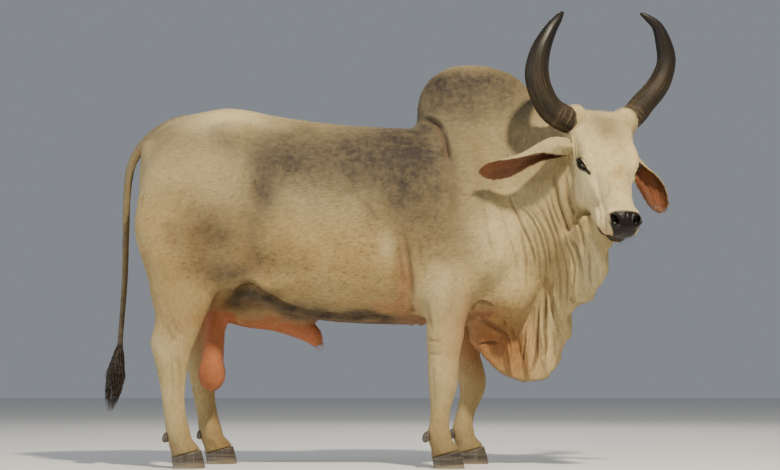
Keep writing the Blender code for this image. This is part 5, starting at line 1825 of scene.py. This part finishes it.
# Shares of the switch's length, and the half widths of its outline and of its core there
SWITCH_SWELL = ((-0.10, 0.0, 0.15, 0.45, 0.70, 0.90, 1.0), (0.012, 0.014, 0.024, 0.040, 0.034, 0.017, 0.006))
SWITCH_CORE = ((-0.10, 0.1, 0.5, 1.0), (0.009, 0.010, 0.008, 0.002))


def make_switch(finish):
    """The tuft that ends the tail: locks that leave a core, swell out and draw to a ragged point."""
    rng = np.random.default_rng(500)
    count = 620
    share = rng.beta(1.1, 1.5, count) * 0.66 - 0.10
    angle = rng.uniform(0, math.tau, count)
    lean = np.array(SWITCH_LEAN)
    across = np.cross(lean, (0, 1, 0))
    across /= np.linalg.norm(across)
    spread = across * np.cos(angle)[:, None] + np.array((0, 1.0, 0)) * np.sin(angle)[:, None]
    top = np.array(SWITCH_TOP + SHIFT)
    finish_at = np.clip(share + rng.uniform(0.34, 0.56, count), 0.25, 0.99)
    reach = rng.uniform(0.35, 1.0, count) ** 0.6
    paths = np.empty((count, SWITCH_POINTS, 3))
    widths = np.empty((count, SWITCH_POINTS))
    bend = rng.normal(0, 1, (count, 3))
    for i, t in enumerate(np.linspace(0, 1, SWITCH_POINTS)):
        place = share + (finish_at - share) * t
        swell = np.interp(place, *SWITCH_SWELL)
        core = np.interp(place, *SWITCH_CORE)
        out = core + (swell * reach - core) * step(0.0, 0.45, t)
        wave = 0.006 * np.sin(3.0 * t + bend) * t
        paths[:, i] = top + lean * (place * SWITCH_LENGTH)[:, None] + spread * out[:, None] + wave
        fullness = 0.55 + 0.6 * math.sin(math.pi * min(1.0, 0.15 + 0.8 * t))
        widths[:, i] = 0.0015 * fullness * (1 - 0.75 * t**3)
    widths *= rng.uniform(0.6, 1.15, count)[:, None]
    _, _, patch = WORK["surface"].nearest(paths[:, 0])
    return grow_locks("switch_locks", paths, widths, spread, {"patch": patch}, finish, 0.7, 4)


def dark_hair_material():
    """Brown-black hair, a little lighter in places."""
    made, tree, shader = new_material("dark_hair", 0.52)
    place = object_place(tree)
    shade = ramp(tree, noise_node(tree, place, 60.0, 3.0), 0.35, 0.70)
    colour = mix(tree, shade, (0.010, 0.007, 0.005, 1), (0.045, 0.028, 0.016, 1))
    tree.links.new(colour, shader.inputs["Base Color"])
    strands = scaled(tree, place, (900.0, 900.0, 60.0))
    add_relief(tree, shader, noise_node(tree, strands, 1.0, 2.0), 0.5, 0.0006)
    return made


# The stage

FLOOR_SIZE = 30
SENSOR_WIDTH = 36
LIGHTS_AIM = Vector((0.1, 0, 0.9))
AMBIENT_COLOUR = (0.80, 0.86, 0.95, 1)
AMBIENT_STRENGTH = 0.30


def make_floor():
    """A wide pale floor, a little uneven in colour."""
    own = settings()
    shape = bmesh.new()
    bmesh.ops.create_grid(shape, x_segments=8, y_segments=8, size=FLOOR_SIZE)
    mesh = bpy.data.meshes.new("floor")
    shape.to_mesh(mesh)
    shape.free()
    made, tree, shader = new_material("pale_floor", 0.85)
    soft = noise_node(tree, object_place(tree), 3.0, 4.0)
    lighter = tuple(min(1, channel * 1.04) for channel in own.floor)
    tree.links.new(mix(tree, soft, rgba(own.floor), rgba(lighter)), shader.inputs["Base Color"])
    mesh.materials.append(made)
    return link_new("floor", mesh)


def make_lights():
    """A dim light from all round and three lights that face the bull."""
    own = settings()
    world = bpy.context.scene.world = bpy.data.worlds.new("studio")
    world.use_nodes = True
    ambient = world.node_tree.nodes["Background"].inputs
    ambient[0].default_value = AMBIENT_COLOUR
    ambient[1].default_value = AMBIENT_STRENGTH
    for name, spot, size, power, colour in (
        ("key", (2.0, -5.0, 6.9), 0.6, own.key_power, (1.0, 0.89, 0.68)),
        ("fill", (-7.0, -3.6, 2.2), 3.5, 2.4 * own.fill_power, (0.86, 0.93, 1.0)),
        ("back", (1.0, 6.0, 4.5), 3.0, own.fill_power, (1.0, 0.97, 0.92)),
    ):
        light = bpy.data.lights.new(name, "AREA")
        light.shape = "DISK"
        light.size = size
        light.energy = power
        light.color = colour
        lamp = link_new(name, light)
        lamp.location = spot
        lamp.rotation_euler = (LIGHTS_AIM + SHIFT - Vector(spot)).to_track_quat("-Z", "Y").to_euler()


def make_camera():
    """The photograph's camera."""
    lens = bpy.data.cameras.new("camera")
    lens.sensor_width = SENSOR_WIDTH
    lens.lens = FOCAL_PIXELS / FRAME_WIDTH * SENSOR_WIDTH
    camera = link_new("camera", lens)
    camera.location = CAMERA_AT + SHIFT
    camera.rotation_euler = VIEW_AXIS.to_track_quat("-Z", "Y").to_euler()
    bpy.context.scene.camera = camera


# Operators


class ZEBU_OT_stage(bpy.types.Operator):
    """Makes the floor, the lights and the camera."""

    bl_idname = "zebu.stage"
    bl_label = "Stage"

    def execute(self, context):
        floor = make_floor()
        make_lights()
        make_camera()
        return {"FINISHED"}


class ZEBU_OT_skin(bpy.types.Operator):
    """Makes the skin with its folds and markings."""

    bl_idname = "zebu.skin"
    bl_label = "Skin"

    def execute(self, context):
        flesh = WORK["flesh"] = Flesh()
        skin = WORK["skin"] = make_skin(flesh)
        paint(skin, flesh)
        WORK["hide"] = hide_group()
        give(skin, hide_material("short_coat", WORK["hide"]), "coat", *FLESH)
        return {"FINISHED"}


class ZEBU_OT_eyes(bpy.types.Operator):
    """Makes the two eyeballs."""

    bl_idname = "zebu.eyes"
    bl_label = "Eyes"

    def execute(self, context):
        made = eye_material()
        for side in SIDES:
            ball, node = eyeball(side)
            give(ball, made, "eye", node)
        return {"FINISHED"}


class ZEBU_OT_horns(bpy.types.Operator):
    """Makes the two horns."""

    bl_idname = "zebu.horns"
    bl_label = "Horns"

    def execute(self, context):
        made = horn_material()
        for side in SIDES:
            piece, node = horn(side)
            give(piece, made, "horn", node)
        return {"FINISHED"}


class ZEBU_OT_hooves(bpy.types.Operator):
    """Makes the hooves and dewclaws."""

    bl_idname = "zebu.hooves"
    bl_label = "Hooves"

    def execute(self, context):
        made = hoof_material()
        for leg in LEGS:
            piece, nodes = make_hooves(leg)
            give(piece, made, "hoof", *nodes)
        return {"FINISHED"}


class ZEBU_OT_fringes(bpy.types.Operator):
    """Grows the longer hair of ears, sheath, horn roots and feet."""

    bl_idname = "zebu.fringes"
    bl_label = "Fringes"

    def execute(self, context):
        for piece in make_fringes():
            give(piece, WORK["coat"], "coat")
        return {"FINISHED"}


class ZEBU_OT_dark_hair(bpy.types.Operator):
    """Grows the lashes, the whiskers and the tail's switch."""

    bl_idname = "zebu.dark_hair"
    bl_label = "Dark hair"

    def execute(self, context):
        finish = dark_hair_material()
        give(make_lashes(finish), finish, "hair")
        give(make_whiskers(finish), finish, "hair")
        give(make_switch(finish), finish, "hair", "tail_switch")
        return {"FINISHED"}


class ZEBU_OT_coat(bpy.types.Operator):
    """Grows the short coat."""

    bl_idname = "zebu.coat"
    bl_label = "Coat"

    def execute(self, context):
        for piece in make_coat():
            give(piece, WORK["coat"], "coat")
        return {"FINISHED"}


STEPS = (
    ZEBU_OT_stage,
    ZEBU_OT_skin,
    ZEBU_OT_coat,
    ZEBU_OT_fringes,
    ZEBU_OT_dark_hair,
    ZEBU_OT_eyes,
    ZEBU_OT_horns,
    ZEBU_OT_hooves,
)


class ZEBU_PT_panel(bpy.types.Panel):
    """Lists the steps that make the bull."""

    bl_label = "Zebu bull"
    bl_idname = "ZEBU_PT_panel"
    bl_space_type = "VIEW_3D"
    bl_region_type = "UI"
    bl_category = "Zebu"

    def draw(self, context):
        for made in STEPS:
            self.layout.operator(made.bl_idname)
        for name in ZebuSettings.__annotations__:
            self.layout.prop(context.scene.zebu, name)


CLASSES = (ZebuSettings, *STEPS, ZEBU_PT_panel)


def register():
    for made in CLASSES:
        bpy.utils.register_class(made)
    bpy.types.Scene.zebu = PointerProperty(type=ZebuSettings)


def unregister():
    del bpy.types.Scene.zebu
    for made in reversed(CLASSES):
        bpy.utils.unregister_class(made)


def main():
    register()
    bpy.ops.zebu.stage()
    bpy.ops.zebu.skin()
    bpy.ops.zebu.coat()
    bpy.ops.zebu.fringes()
    bpy.ops.zebu.dark_hair()
    bpy.ops.zebu.eyes()
    bpy.ops.zebu.horns()
    bpy.ops.zebu.hooves()


if __name__ == "__main__":
    main()
